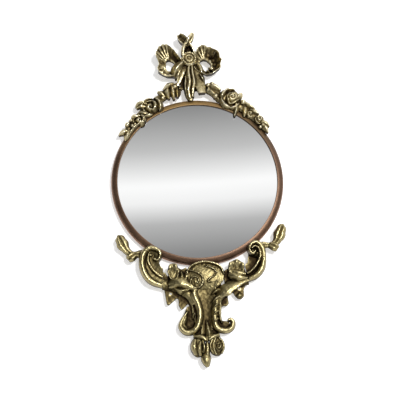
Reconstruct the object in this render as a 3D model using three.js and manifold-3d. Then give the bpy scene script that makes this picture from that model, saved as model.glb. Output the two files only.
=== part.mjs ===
// Wall mirror with a turned round frame, a cast bow and two garlands above it,
// and a cast bracket of scrolls, a shield and two rosebuds below it.
// Millimetres, +Z up, front towards -Y, origin at the middle of the mirror's back face.
// "forward" is the distance in front of that back face, so y = -forward.
import * as THREE from "three";
import { mergeVertices } from "three/addons/utils/BufferGeometryUtils.js";
import Module from "manifold-3d";

const wasm = await Module();
wasm.setup();

// ---------------------------------------------------------------- driving dimensions

const GAP = 0.3; // clearance between pieces that touch
const BORE_GAP = 0.4; // clearance round a screw or wire in its hole
const WALL = 5; // the wall stands this far behind the back face
const DEEP = 40; // further forward than any piece

const RING = {
  outer: 125, // outside radius
  sight: 115.5, // radius of the opening in front of the glass
  seat: 120.4, // radius of the seat behind it
  depth: 12,
  side: 4, // height of the straight outer side
  lip: 9.5, // forward distance of the seat's floor
  steps: 48,
};
const GLASS = { radius: 119.8, thick: 3, bevel: 1 };
const PACKING = { radius: 119.4, thick: 1.2 };
const BOARD_RADIUS = 119.6;
const FIXING_RADIUS = 122.6; // circle of the screws in the ring's back land

const SCREW = { shank: 1.1, head: 2, headDepth: 1.1, sides: 8 };
const PILOT_DEPTH = 3.4;
const SIDE_SCREW = { x: 9, forward: 5.5, length: 9 };
const BUTTON = { long: 18, wide: 4.8, thick: 1.2, angles: [25, 155, 205, 335] };
const HANGER = {
  inner: 120.9,
  outer: 124.6,
  thick: 1.2,
  halfAngle: 9.4, // degrees along the ring, each side of the top
  screwAngle: 7.2,
  knuckle: 2.1,
  knuckleWide: 10,
  behind: 2.8, // the pivot's distance behind the back face
  height: 121.6, // and its height
};
const LOOP = { wire: 1, halfWide: 7.7, drop: 12.7 };
const BUMPER = { radius: 7, at: 92, angles: [235, 305] };

// forward distance of the flat back of each casting
const BACK = { bow: 7, garland: 6, shield: 1, scroll: 2.5, wing: 5, bud: 2.5 };

const BRASS = { color: 0x9c8656, roughness: 0.4, metalness: 0.9 };
const BRONZE = { color: 0x6b5140, roughness: 0.45, metalness: 0.5 };
const STEEL = { color: 0x8a8a86, roughness: 0.4, metalness: 0.9 };
const SILVERED = { color: 0xd8d8d8, roughness: 0.03, metalness: 1 };
const CARD = { color: 0x8f7a5c, roughness: 0.9, metalness: 0 };
const WOOD = { color: 0x6a4c33, roughness: 0.7, metalness: 0 };
const FELT = { color: 0x3a3a38, roughness: 0.95, metalness: 0 };

// ---------------------------------------------------------------- solids

const degrees = THREE.MathUtils.degToRad;
const at = (x, forward, z) => new THREE.Vector3(x, -forward, z);
const polar = (radius, angle) => [
  radius * Math.cos(degrees(angle)),
  radius * Math.sin(degrees(angle)),
];
const mirrored = (route) => route.map(([x, ...rest]) => [-x, ...rest]);

// Turns every triangle of an index round.
function reversed(index) {
  const turned = [...index];
  for (let i = 0; i < turned.length; i += 3) {
    [turned[i + 1], turned[i + 2]] = [turned[i + 2], turned[i + 1]];
  }
  return turned;
}

// A closed three.js geometry as a solid that faces outwards.
function solidOf(geometry) {
  const bare = geometry.clone();
  bare.deleteAttribute("normal");
  bare.deleteAttribute("uv");
  const merged = mergeVertices(bare, 1e-4);
  const vertProperties = new Float32Array(merged.attributes.position.array);
  const make = (index) =>
    new wasm.Manifold(
      new wasm.Mesh({ numProp: 3, vertProperties, triVerts: new Uint32Array(index) }),
    );
  const solid = make(merged.index.array);
  return solid.volume() > 0 ? solid : make(reversed(merged.index.array));
}

function geometryOf(solid) {
  const mesh = solid.getMesh();
  const geometry = new THREE.BufferGeometry();
  geometry.setAttribute("position", new THREE.BufferAttribute(mesh.vertProperties, 3));
  geometry.setIndex(new THREE.BufferAttribute(mesh.triVerts, 1));
  const faceted = geometry.toNonIndexed();
  faceted.computeVertexNormals();
  return faceted;
}

const fused = (solids) => solids.reduce((sum, solid) => sum.add(solid));
const cut = (solid, tools) => tools.reduce((left, tool) => left.subtract(tool), solid);

// Fans that close the two ends of a run of rings with `count` points each.
function endFans(points, rings, count) {
  const index = [];
  [0, rings.length - 1].forEach((ring, end) => {
    const middle = points.length;
    const sum = new THREE.Vector3();
    rings[ring].forEach((point) => sum.add(point));
    points.push(sum.divideScalar(count));
    for (let k = 0; k < count; k += 1) {
      const a = ring * count + k;
      const b = ring * count + ((k + 1) % count);
      index.push(...(end === 0 ? [middle, b, a] : [middle, a, b]));
    }
  });
  return index;
}

// Joins rings of points into one closed skin.
function skin(rings, closed = false) {
  const count = rings[0].length;
  const points = rings.flat();
  const index = [];
  const spans = closed ? rings.length : rings.length - 1;
  for (let i = 0; i < spans; i += 1) {
    const here = i * count;
    const next = ((i + 1) % rings.length) * count;
    for (let k = 0; k < count; k += 1) {
      const l = (k + 1) % count;
      index.push(here + k, here + l, next + l, here + k, next + l, next + k);
    }
  }
  if (!closed) {
    index.push(...endFans(points, rings, count));
  }
  const geometry = new THREE.BufferGeometry().setFromPoints(points);
  geometry.setIndex(index);
  return solidOf(geometry);
}

// Flat plate with the outline [x, z], from one forward distance to another.
function plate(outline, from, to) {
  const shape = new THREE.Shape(outline.map(([x, z]) => new THREE.Vector2(x, z)));
  const geometry = new THREE.ExtrudeGeometry(shape, { depth: to - from, bevelEnabled: false });
  geometry.rotateX(Math.PI / 2).translate(0, -from, 0);
  return solidOf(geometry);
}

// Turned piece with its axis along Y: profile of [radius, forward], round the line x, z.
function turned(profile, { x = 0, z = 0, steps = SCREW.sides } = {}) {
  const points = profile.map(([radius, forward]) => new THREE.Vector2(radius, -forward));
  return solidOf(new THREE.LatheGeometry(points, steps).translate(x, 0, z));
}

const rod = (radius, from, to, place) =>
  turned([[0, from], [radius, from], [radius, to], [0, to]], place);

function box([x0, x1], [forward0, forward1], [z0, z1]) {
  const geometry = new THREE.BoxGeometry(x1 - x0, forward1 - forward0, z1 - z0);
  geometry.translate((x0 + x1) / 2, -(forward0 + forward1) / 2, (z0 + z1) / 2);
  return solidOf(geometry);
}

// ---------------------------------------------------------------- moulded forms

// Sections of a band: [place across from -1 to 1, height from 0 to 1].
const ROUNDED = [[-1, 0.4], [-0.55, 0.9], [0.1, 1], [0.65, 0.85], [1, 0.4]];
const LEAF = [[-1, 0.4], [-0.5, 1], [0, 0.72], [0.5, 1], [1, 0.4]];
const CHANNEL = [[-1, 0.7], [-0.7, 1], [-0.25, 0.55], [0.5, 0.5], [1, 0.8]];
const PLEATED = [[-1, 0.4], [-0.7, 1], [-0.38, 0.62], [0, 1], [0.38, 0.62], [0.7, 1], [1, 0.4]];
const HOLLOW = [[-1, 0.8], [-0.7, 1], [0, 0.5], [0.7, 1], [1, 0.8]];
const EDGE = [[-1, 0.6], [0, 1], [1, 0.6]];

// Flat-backed band along a route of [x, z, half width, rise].
function band(route, base, { section = ROUNDED, steps = 8 } = {}) {
  const line = new THREE.CatmullRomCurve3(route.map(([x, z]) => new THREE.Vector3(x, 0, z)));
  const size = new THREE.CatmullRomCurve3(
    route.map(([, , half, rise]) => new THREE.Vector3(half, rise, 0)),
  );
  const rings = [];
  for (let i = 0; i <= steps; i += 1) {
    const t = i / steps;
    const middle = line.getPoint(t);
    const along = line.getTangent(t);
    const side = new THREE.Vector3(along.z, 0, -along.x).normalize();
    const { x: wide, y: rise } = size.getPoint(t);
    const place = (u, height) =>
      at(middle.x + side.x * u * wide, base + rise * height, middle.z + side.z * u * wide);
    const front = section.map(([u, height]) => place(u, height));
    rings.push([...front, place(1, 0), place(-1, 0)]);
  }
  return skin(rings);
}

const leaf = (route, base) => band(route, base, { section: LEAF, steps: 3 });
const edging = (route, base, steps) => band(route, base, { section: EDGE, steps });

// Flat-backed mound: outline(angle) is its radius, rise(share, angle) its height.
function mound({ x, z, base, outline, rise, rings = 4, sectors = 16 }) {
  const ringAt = (share, height) =>
    Array.from({ length: sectors }, (_, k) => {
      const angle = (k / sectors) * 2 * Math.PI;
      const radius = outline(angle) * share;
      const forward = base + height(angle);
      return at(x + Math.cos(angle) * radius, forward, z + Math.sin(angle) * radius);
    });
  const skins = [ringAt(1, () => 0)];
  for (let i = rings; i >= 1; i -= 1) {
    skins.push(ringAt(i / rings, (angle) => rise(i / rings, angle)));
  }
  return skin(skins);
}

const oval = (wide, high) => (angle) =>
  1 / Math.hypot(Math.cos(angle) / wide, Math.sin(angle) / high);

// How far round its spiral a fold has come, from 0 to 1.
function spiral(share, angle, turns, twist) {
  const turn = turns * share - (angle - twist) / (2 * Math.PI);
  return turn - Math.floor(turn);
}

// Rose: a mound with an outline of petals and a spiral fold.
function rose({ x, z, radius, rise, petals = 5, turns = 2, twist = 0, sectors = 15 }, base) {
  const outline = (angle) =>
    radius * (1 - 0.09 * Math.abs(Math.sin((petals * (angle - twist)) / 2)));
  const height = (share, angle) =>
    rise * (0.5 + 0.5 * Math.cos((share * Math.PI) / 2.2)) -
    0.15 * rise * spiral(share, angle, turns, twist);
  return mound({ x, z, base, sectors, rings: 4, outline, rise: height });
}

// Bud or berry: a round mound, longer than wide where high differs from wide.
function bud({ x, z, wide, high = wide, rise, sectors = 8 }, base) {
  const height = (share) => rise * (0.35 + 0.65 * Math.sqrt(Math.max(0, 1 - share * share)));
  return mound({ x, z, base, sectors, rings: 3, outline: oval(wide, high), rise: height });
}

// Ruffled loop of ribbon round a hole: stations of [degrees, hole radius, outer radius, rise].
function ruffle({ x, z, pleats, steps, stations }, base) {
  const sizes = stations.map(([, hole, outer, rise]) => new THREE.Vector3(hole, outer, rise));
  const ways = stations.map(([angle]) => new THREE.Vector3(...polar(1, angle), 0));
  const size = new THREE.CatmullRomCurve3(sizes, true);
  const turn = new THREE.CatmullRomCurve3(ways, true);
  const rings = [];
  for (let i = 0; i < steps; i += 1) {
    const t = i / steps;
    const { x: hole, y: outer, z: rise } = size.getPoint(t);
    const way = turn.getPoint(t).normalize();
    const fold = 0.16 * Math.cos(2 * Math.PI * pleats * t);
    const place = (share, height) => {
      const radius = hole + (outer - hole) * share;
      return at(x + way.x * radius, base + rise * height, z + way.y * radius);
    };
    rings.push([
      place(0, 0),
      place(0, 0.45),
      place(0.3, 0.8 + fold / 2),
      place(0.72, 0.84 + fold),
      place(1, 0.5 + fold / 2),
      place(1, 0),
    ]);
  }
  return skin(rings, true);
}

// ---------------------------------------------------------------- frame ring

// The ring's front swells from its straight side up to the lip round the glass.
function ringFace(radius) {
  const share = (RING.outer - radius) / (RING.outer - RING.sight);
  return RING.side + (RING.depth - RING.side) * Math.sqrt(1 - (1 - share) ** 2);
}

function ringProfile(grow = 0) {
  const front = [1, 0.93, 0.7, 0.4, 0.08].map((share) => {
    const radius = RING.sight + share * (RING.outer - RING.sight);
    return [radius + grow * share, ringFace(radius) + grow];
  });
  return [
    [RING.seat, -grow],
    [RING.outer + grow, -grow],
    ...front,
    [RING.sight - grow, RING.depth - 0.6 + grow],
    [RING.sight - grow, RING.lip],
    [RING.seat, RING.lip],
    [RING.seat, -grow],
  ];
}

// The room that a casting leaves for the ring and the glass where it laps over them.
function ringRoomProfile() {
  const face = ringProfile(GAP).slice(1, -2);
  const overGlass = RING.lip + 2 * GAP;
  return [[0, -GAP], ...face.slice(0, -1), [RING.sight - GAP, overGlass], [0, overGlass]];
}
const ringRoom = turned(ringRoomProfile(), { steps: RING.steps });

// Countersunk screw: [radius, distance along it], grown all round for its room.
function screwProfile(length, grow = 0) {
  const { shank, head, headDepth } = SCREW;
  return [
    [0, -grow],
    [head + grow, -grow],
    [head + grow, 0.2],
    [shank + grow, headDepth + grow],
    [shank + grow, length + grow],
    [0, length + grow],
  ];
}

// A screw that runs forward from the place `from`, its head just below the surface.
function screw([x, z], length, grow = 0, from = 0.1) {
  const profile = screwProfile(length, grow);
  return turned(profile.map(([radius, along]) => [radius, from + along]), { x, z });
}

// Screws through the ring into the castings on its face: angle round the ring, and length.
const RING_SCREWS = {
  bow_screw: [90.6, 15],
  garland_screw_1: [144, 14],
  garland_screw_2: [118.3, 17],
  garland_screw_3: [62, 17],
  garland_screw_4: [37, 14],
  scroll_screw_left: [233, 14.5],
  scroll_screw_right: [307, 14.5],
};
function ringScrew(name, grow = 0) {
  const [angle, length] = RING_SCREWS[name];
  return screw(polar(FIXING_RADIUS, angle), length, grow);
}

// Screws that run down through the ring's side from its seat into the shield.
function sideScrew(x, grow = 0) {
  const profile = screwProfile(SIDE_SCREW.length, grow).map(([r, d]) => new THREE.Vector2(r, d));
  const top = -Math.sqrt(RING.seat ** 2 - x * x) - 0.6;
  const geometry = new THREE.LatheGeometry(profile, SCREW.sides);
  geometry.rotateX(-Math.PI / 2).translate(x, -SIDE_SCREW.forward, top);
  return solidOf(geometry);
}
const sideScrewXs = [-SIDE_SCREW.x, SIDE_SCREW.x];

// Round-headed screw in the back land, over a plate of the given thickness.
function landScrew(angle, thick) {
  const [x, z] = polar(FIXING_RADIUS, angle);
  const under = -(thick + 2 * GAP);
  const { shank, head } = SCREW;
  const profile = [
    [0, under - 1],
    [head * 0.7, under - 0.8],
    [head, under],
    [shank, under],
    [shank, PILOT_DEPTH - GAP],
    [0, PILOT_DEPTH - GAP],
  ];
  return turned(profile, { x, z });
}
const hangerAngles = [90 - HANGER.screwAngle, 90 + HANGER.screwAngle];
const pilotHole = (angle) => {
  const [x, z] = polar(FIXING_RADIUS, angle);
  return rod(SCREW.shank + BORE_GAP, -DEEP, PILOT_DEPTH, { x, z });
};

function frameRing() {
  return cut(turned(ringProfile(), { steps: RING.steps }), [
    ...Object.keys(RING_SCREWS).map((name) => ringScrew(name, GAP)),
    ...[...BUTTON.angles, ...hangerAngles].map(pilotHole),
    ...sideScrewXs.map((x) => sideScrew(x, GAP)),
  ]);
}

// ---------------------------------------------------------------- glass and back

const glassBack = RING.lip - GAP - GLASS.thick;
const packingBack = glassBack - GAP - PACKING.thick;

function mirrorGlass() {
  const { radius, thick, bevel } = GLASS;
  const front = glassBack + thick;
  const profile = [
    [0, glassBack],
    [radius, glassBack],
    [radius, front - bevel / 2],
    [radius - bevel, front],
    [0, front],
  ];
  return turned(profile, { steps: RING.steps });
}
const backDisc = (radius, from, to) => rod(radius, from, to, { steps: RING.steps });
const packing = () => backDisc(PACKING.radius, packingBack, packingBack + PACKING.thick);
const backBoard = () => backDisc(BOARD_RADIUS, 0, packingBack - GAP);

// Turn button: pivots on the ring's land and reaches over the board.
function turnButton(angle) {
  const radius = BUTTON.wide / 2;
  const end = (middle, start) =>
    Array.from({ length: 7 }, (_, i) => {
      const [across, along] = polar(radius, start + i * 30);
      return [across, middle + along];
    });
  const outline = [...end(0, 0), ...end(-(BUTTON.long - BUTTON.wide), 180)];
  const flat = plate(outline, -GAP - BUTTON.thick, -GAP);
  const pierced = flat.subtract(rod(SCREW.shank + BORE_GAP, -DEEP, DEEP));
  const mesh = geometryOf(pierced).rotateY(degrees(90 - angle));
  const [x, z] = polar(FIXING_RADIUS, angle);
  return solidOf(mesh.translate(x, 0, z));
}

// Tube or rod with its axis along X through the hanging loop's pivot.
function alongX(radius, halfWide, steps = 12) {
  const geometry = new THREE.CylinderGeometry(radius, radius, 2 * halfWide, steps);
  geometry.rotateZ(Math.PI / 2).translate(0, HANGER.behind, HANGER.height);
  return solidOf(geometry);
}

// Hanger: an arc of strip screwed to the land, rolled into a knuckle at its middle.
function hangerPlate() {
  const { inner, outer, halfAngle, thick } = HANGER;
  const arc = (radius, from, to) =>
    Array.from({ length: 9 }, (_, i) => polar(radius, from + ((to - from) * i) / 8));
  const outline = [
    ...arc(outer, 90 - halfAngle, 90 + halfAngle),
    ...arc(inner, 90 + halfAngle, 90 - halfAngle),
  ];
  const strip = plate(outline, -GAP - thick, -GAP);
  const knuckle = alongX(HANGER.knuckle, HANGER.knuckleWide / 2);
  const bore = alongX(LOOP.wire + BORE_GAP, HANGER.knuckleWide);
  const holes = hangerAngles.map((angle) => {
    const [x, z] = polar(FIXING_RADIUS, angle);
    return rod(SCREW.shank + BORE_GAP, -DEEP, DEEP, { x, z });
  });
  return cut(strip.add(knuckle), [bore, ...holes]);
}

// Hanging loop: a bent wire whose straight side turns in the knuckle.
function hangingLoop() {
  const { wire, halfWide, drop } = LOOP;
  const half = [[halfWide * 0.78, 0], [halfWide * 0.93, -0.5], [halfWide, -2]];
  const bend = [-4.5, -7.4, -10].map((z) => [halfWide * Math.sqrt(1 - (z / drop) ** 2) * 1.04, z]);
  const right = [...half, ...bend, [halfWide * 0.3, -drop]];
  const route = [...right, ...mirrored(right).reverse()];
  const rings = route.map(([x, z], i) => {
    const before = route[(i + route.length - 1) % route.length];
    const after = route[(i + 1) % route.length];
    const along = new THREE.Vector2(after[0] - before[0], after[1] - before[1]).normalize();
    return Array.from({ length: 8 }, (_, k) => {
      const [out, back] = polar(wire, k * 45);
      const forward = -(HANGER.behind + back);
      return at(x + along.y * out, forward, HANGER.height + z - along.x * out);
    });
  });
  return skin(rings, true);
}

function bumper(angle) {
  const [x, z] = polar(BUMPER.at, angle);
  return rod(BUMPER.radius, GAP - WALL, -GAP, { x, z, steps: 20 });
}

// ---------------------------------------------------------------- bow

const KNOT = { x: -1, z: 188, wide: 14, rise: 12, sectors: 12 };
const KNOT_SEAT = 17; // forward distance of the flat that the rosette sits on
const ROSETTE = { radius: 10.8, thick: 6, pin: 1.4, pinLength: 5 };

const LEFT_LOOP = {
  x: -30,
  z: 180.5,
  pleats: 8,
  steps: 24,
  stations: [
    [0, 7.5, 20, 9],
    [45, 7, 23, 8],
    [75, 7.5, 27, 9],
    [100, 8, 34, 12],
    [122, 7.5, 31, 12],
    [143, 7, 25, 10],
    [170, 6, 16, 8],
    [198, 6.5, 20, 10],
    [228, 8, 20.5, 10],
    [262, 8.5, 20, 8],
    [300, 8, 19, 8],
    [330, 7, 19, 9],
  ],
};
const RIGHT_LOOP = {
  x: 23,
  z: 178,
  pleats: 8,
  steps: 24,
  stations: [
    [0, 7.6, 23.5, 9],
    [27, 7, 26, 11],
    [52, 7, 28, 11],
    [72, 7.6, 29.5, 9],
    [92, 8.5, 31.5, 12],
    [112, 9, 28, 12],
    [135, 9.6, 23, 9],
    [160, 9, 20, 9],
    [200, 5.5, 17, 9],
    [240, 6, 14.5, 8],
    [275, 9, 18, 9],
    [320, 8.4, 19.5, 10],
  ],
};

// Folds, petals and tails of the ribbon: [x, z, half width, rise].
const TOP_FOLDS = [
  [[-8, 196, 3.5, 8], [-9, 206, 3, 9], [-5, 214, 2.8, 10], [1, 222, 3.6, 10], [6, 231, 3.4, 7]],
  [[6, 197, 3, 7], [4, 206, 2.6, 8], [-1, 215, 2.8, 9], [-9, 222, 4.2, 9], [-14, 231, 4.4, 7]],
];
const TOP_WEB = [[-10, 195], [7, 195], [0, 217], [-5, 217]];
const PETALS = [
  [[-13, 180, 2.5, 8], [-19, 174, 5, 10], [-24, 168, 4.5, 9], [-24, 161, 2.5, 6]],
  [[9, 182, 3, 7], [14, 174, 5, 8], [16, 164, 4.5, 7]],
];
const SIDE_TAILS = [
  [[-8, 180, 5, 9], [-14, 167, 5.5, 9], [-19, 156, 5.5, 9], [-24, 147, 5, 9]],
  [[8, 180, 5, 8], [11, 165, 7, 8], [14, 152, 8, 9], [14.5, 141, 8, 9], [16, 133, 5, 8]],
];
const MIDDLE_TAIL = [
  [0, 182, 6, 9],
  [-1, 164, 8, 11],
  [-3, 145, 8.8, 11],
  [-3.5, 131, 7.4, 12],
  [-2.2, 121, 3.2, 10],
];
const TAIL_WEB = [[-16, 176], [14, 176], [18, 140], [5, 138], [-6, 140], [-18, 143], [-20, 154]];

// Each garland's tongue lies behind the bow's tail, and a small screw joins the two.
const LAP = {
  left: { side: -1, seam: 20.5, reach: [14, 27], heights: [141.5, 152], screw: [-17.5, 147.5] },
  right: { side: 1, seam: 20.8, reach: [12, 26], heights: [137.5, 150], screw: [16, 143] },
};
const TONGUE = { from: BACK.bow - GAP - 3, to: BACK.bow - GAP };
const LAP_SCREW_LENGTH = 8;
const lapScrew = (side, grow = 0) =>
  screw(LAP[side].screw, LAP_SCREW_LENGTH, grow, TONGUE.from + 0.1);

// A box given by its distances from the middle, on the left (-1) or right (1) side.
function sideBox(side, [near, far], forwards, heights) {
  return box(side < 0 ? [-far, -near] : [near, far], forwards, heights);
}

function bow() {
  const tailEnd = ({ side, seam }) => sideBox(side, [seam, 60], [0, DEEP], [100, 157]);
  const solid = fused([
    ruffle(LEFT_LOOP, BACK.bow),
    ruffle(RIGHT_LOOP, BACK.bow),
    bud(KNOT, BACK.bow),
    ...TOP_FOLDS.map((route) => edging(route, BACK.bow, 8)),
    plate(TOP_WEB, BACK.bow, BACK.bow + 4),
    ...PETALS.map((route) => leaf(route, BACK.bow)),
    ...SIDE_TAILS.map((route) => band(route, BACK.bow, { section: HOLLOW, steps: 6 })),
    band(MIDDLE_TAIL, BACK.bow, { section: PLEATED, steps: 8 }),
    plate(TAIL_WEB, BACK.bow, BACK.bow + 4),
  ]);
  return cut(solid, [
    rod(ROSETTE.radius + GAP, KNOT_SEAT, DEEP, { ...KNOT, steps: 16 }),
    rod(ROSETTE.pin + GAP, KNOT_SEAT - ROSETTE.pinLength, DEEP, KNOT),
    tailEnd(LAP.left),
    tailEnd(LAP.right),
    ringRoom,
    ringScrew("bow_screw", GAP),
    lapScrew("left", GAP),
    lapScrew("right", GAP),
  ]);
}

// Rosette: concentric rings in a scalloped rim, on a pin riveted into the knot.
function rosette() {
  const { radius, thick, pin, pinLength } = ROSETTE;
  const { x, z } = KNOT;
  const seat = KNOT_SEAT + GAP;
  const outline = (angle) => radius * (1 - 0.05 * Math.abs(Math.sin(angle * 6)));
  const rise = (share) => thick * (0.8 - 0.3 * share + 0.2 * Math.cos(share * 5 * Math.PI));
  const disc = mound({ x, z, base: seat, sectors: 24, rings: 6, outline, rise });
  return disc.add(rod(pin, seat - pinLength, seat + 1, { x, z }));
}

// ---------------------------------------------------------------- garlands

// Stem and leaves are routes of [x, z, half width, rise]; berries are [x, z, size, rise].
const LEFT_GARLAND = {
  stem: [
    [-24, 143, 6, 7],
    [-44, 131, 7, 7],
    [-62, 117, 8, 8],
    [-82, 98, 7, 8],
    [-95, 84, 6, 8],
    [-103, 72, 4, 7],
  ],
  leaves: [
    [[-24, 149, 3, 9], [-22, 138, 4, 11], [-25, 127, 2, 8]],
    [[-29, 147, 3, 8], [-29, 136, 4, 10], [-29, 125, 2, 7]],
    [[-36, 146, 4, 8], [-38, 135, 4.5, 10], [-38, 124, 2, 8]],
    [[-28, 149, 3, 8], [-34, 146, 4, 9], [-40, 139, 3, 8]],
    [[-66, 116, 5, 9], [-77, 119, 7, 9], [-84, 115, 3, 7]],
    [[-66, 103, 4, 9], [-73, 106, 4.5, 10], [-80, 109, 2, 8]],
    [[-80, 101, 3, 10], [-87, 101, 4, 11], [-91, 97, 2, 8]],
    [[-98, 80, 4, 9], [-105, 77, 4.5, 9], [-111, 73, 1.5, 7]],
    [[-98, 79, 4, 9], [-101, 71, 4.5, 9], [-103, 63, 1.5, 7]],
  ],
  berries: [
    [-25, 144, 5, 12],
    [-47, 136, 5.5, 11],
    [-43, 128, 4, 9],
    [-92, 94, 3.5, 11],
    [-97, 88, 5, 12],
    [-90, 85, 3.5, 13],
  ],
  roses: [
    { x: -61, z: 114, radius: 17, rise: 17, twist: 0.4 },
    { x: -79, z: 94, radius: 10.5, rise: 14, twist: 2, turns: 1.5 },
  ],
  screws: ["garland_screw_1", "garland_screw_2"],
};
const RIGHT_GARLAND = {
  stem: [
    [24, 140, 7, 7],
    [40, 129, 7, 7],
    [58, 119, 8, 8],
    [77, 104, 8, 8],
    [92, 89, 7, 8],
    [104, 72, 4, 7],
  ],
  leaves: [
    [[24, 145, 3, 8], [34, 142, 5, 10], [43, 136, 2.5, 8]],
    [[27, 136, 4, 8], [34, 128, 4, 8], [40, 119, 3, 8]],
    [[48, 116, 4, 9], [45, 112, 4, 9], [44, 107, 1.5, 8]],
    [[64, 113, 3, 10], [63, 103, 4, 10], [60, 93, 1.5, 8]],
    [[66, 118, 4, 9], [71, 125, 4.5, 10], [75, 130, 1.5, 8]],
    [[76, 113, 4, 9], [84, 108, 4, 10], [91, 103, 2, 9]],
    [[84, 102, 4, 9], [91, 98, 4, 10], [97, 94, 2, 9]],
    [[76, 106, 4, 10], [76, 99, 4.5, 12], [74, 91, 2, 10]],
    [[98, 82, 4, 9], [105, 79, 4.5, 9], [111, 75, 1.5, 7]],
    [[99, 80, 4, 9], [104, 73, 4.5, 9], [108, 65, 1.5, 7]],
  ],
  berries: [
    [25, 145, 4, 11],
    [31, 146, 3.8, 11],
    [35, 127, 4.5, 9],
    [75, 114, 5.2, 13],
    [97, 74, 3.4, 11],
  ],
  roses: [
    { x: 56, z: 122, radius: 17, rise: 13, twist: 1, turns: 1 },
    { x: 59, z: 121, radius: 10.5, rise: 17, petals: 4, sectors: 14 },
    { x: 84, z: 96, radius: 8, rise: 11, petals: 4, twist: 1, turns: 1, sectors: 10 },
    { x: 96, z: 86, radius: 8, rise: 14, twist: 2.5, turns: 1.5, sectors: 12 },
  ],
  screws: ["garland_screw_3", "garland_screw_4"],
};

function garland({ stem, leaves, berries, roses, screws }, lapName) {
  const { side, seam, reach, heights } = LAP[lapName];
  const { from, to } = TONGUE;
  const start = seam + GAP;
  const sprays = fused([
    band(stem, BACK.garland, { steps: 10 }),
    ...leaves.map((route) => leaf(route, BACK.garland)),
    ...berries.map(([x, z, wide, rise]) => bud({ x, z, wide, rise, sectors: 7 }, BACK.garland)),
    ...roses.map((flower) => rose(flower, BACK.garland)),
  ]);
  const clear = sprays.subtract(sideBox(side, [0, start], [0, DEEP], [60, 170]));
  const tongue = sideBox(side, reach, [from, to], heights);
  const root = sideBox(side, [start, reach[1]], [from, to + 3], heights);
  return cut(fused([clear, tongue, root]), [
    ringRoom,
    lapScrew(lapName, GAP),
    ...screws.map((name) => ringScrew(name, GAP)),
  ]);
}

// ---------------------------------------------------------------- shield bracket

const SHIELD = { x: 2, z: -142.5, radii: [26, 23.5, 21, 24.5, 26, 23, 17, 22], rise: 15 };
const SHIELD_RIM = [
  [-24, -145, 2.4, 15],
  [-23, -132, 2.6, 16],
  [-14, -125, 2.6, 17],
  [1, -122.5, 2.6, 17],
  [15, -125, 2.6, 17],
  [24, -132, 2.6, 16],
  [28, -144, 2.4, 15],
];
const CURLS = [
  [
    [-20, -133, 1.5, 16],
    [-12, -134, 2, 18],
    [-6, -141, 2, 19],
    [-6, -149, 2, 19],
    [-12, -154, 2, 18],
    [-17, -148, 1.8, 17],
  ],
  [
    [22, -134, 1.5, 16],
    [14, -135, 2, 18],
    [8, -142, 2, 19],
    [8, -150, 2, 19],
    [14, -154, 2, 18],
    [19, -148, 1.8, 17],
  ],
];
const NECK = [
  [-1, -148, 14, 15],
  [-1.5, -162, 11.5, 15],
  [-1, -178, 9, 15],
  [-0.5, -195, 7, 14],
  [-1, -212, 6, 13],
  [-1, -224, 8, 12],
];
const SPEAR = [[-1, -203, 1, 14], [0, -212, 4, 16], [1, -222, 7, 15], [-1, -229, 2, 13]];
const CALYX = [
  [13, -223, 4, 12],
  [6, -225, 4.4, 13],
  [-1, -228, 4.4, 13],
  [-8, -225, 4.4, 13],
  [-16, -223, 4, 12],
];
const BODY_WEB = [
  [-24, -150],
  [24, -150],
  [20, -172],
  [14, -186],
  [13, -206],
  [20, -214],
  [12, -222.7],
  [-14, -222.3],
  [-20, -214],
  [-14, -204],
  [-14, -186],
  [-20, -172],
];

// The two sides of the bracket differ a little, as hand-worked castings do.
const LEFT_BRACKET = {
  burst: [
    [[-16, -158, 5, 15], [-28, -152, 6.5, 17], [-43, -144, 3, 13]],
    [[-24, -154, 4, 13], [-28, -143, 5, 15], [-29, -132, 1.5, 11]],
    [[-20, -160, 4, 13], [-32, -161, 4.5, 15], [-42, -156, 2, 12]],
  ],
  boss: { x: -34, z: -148, wide: 9, high: 7.5, rise: 16 },
  upright: [{ x: -43.5, z: -132.5, wide: 9, high: 12.5, rise: 14, sectors: 10 }],
  strap: [
    [-62, -147, 9, 9],
    [-46, -152, 8, 10],
    [-33, -158, 8, 11],
    [-22, -167, 7, 11],
    [-16, -180, 6, 11],
    [-15, -196, 5, 11],
  ],
  hook: [
    [-11, -168, 5, 14],
    [-9, -184, 5.5, 14],
    [-9.5, -199, 5.5, 14],
    [-14, -211, 5.5, 14],
    [-24, -217.5, 5.5, 14],
    [-34, -214, 5, 14],
    [-37, -205, 4.5, 13],
    [-32, -195, 4, 12],
    [-25, -186, 3.5, 11],
  ],
  hollow: [[-14, -180], [-26, -182], [-36, -202], [-32, -214], [-22, -216], [-12, -208]],
  tab: [
    [-57, -152],
    [-54, -177],
    [-51, -178.5],
    [-40, -169.5],
    [-37.5, -171],
    [-37.5, -180],
    [-34.5, -186],
    [-31, -184],
    [-25, -178],
    [-20, -186],
    [-14, -170],
    [-30, -150],
  ],
  hole: [-48, -163],
};
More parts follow.
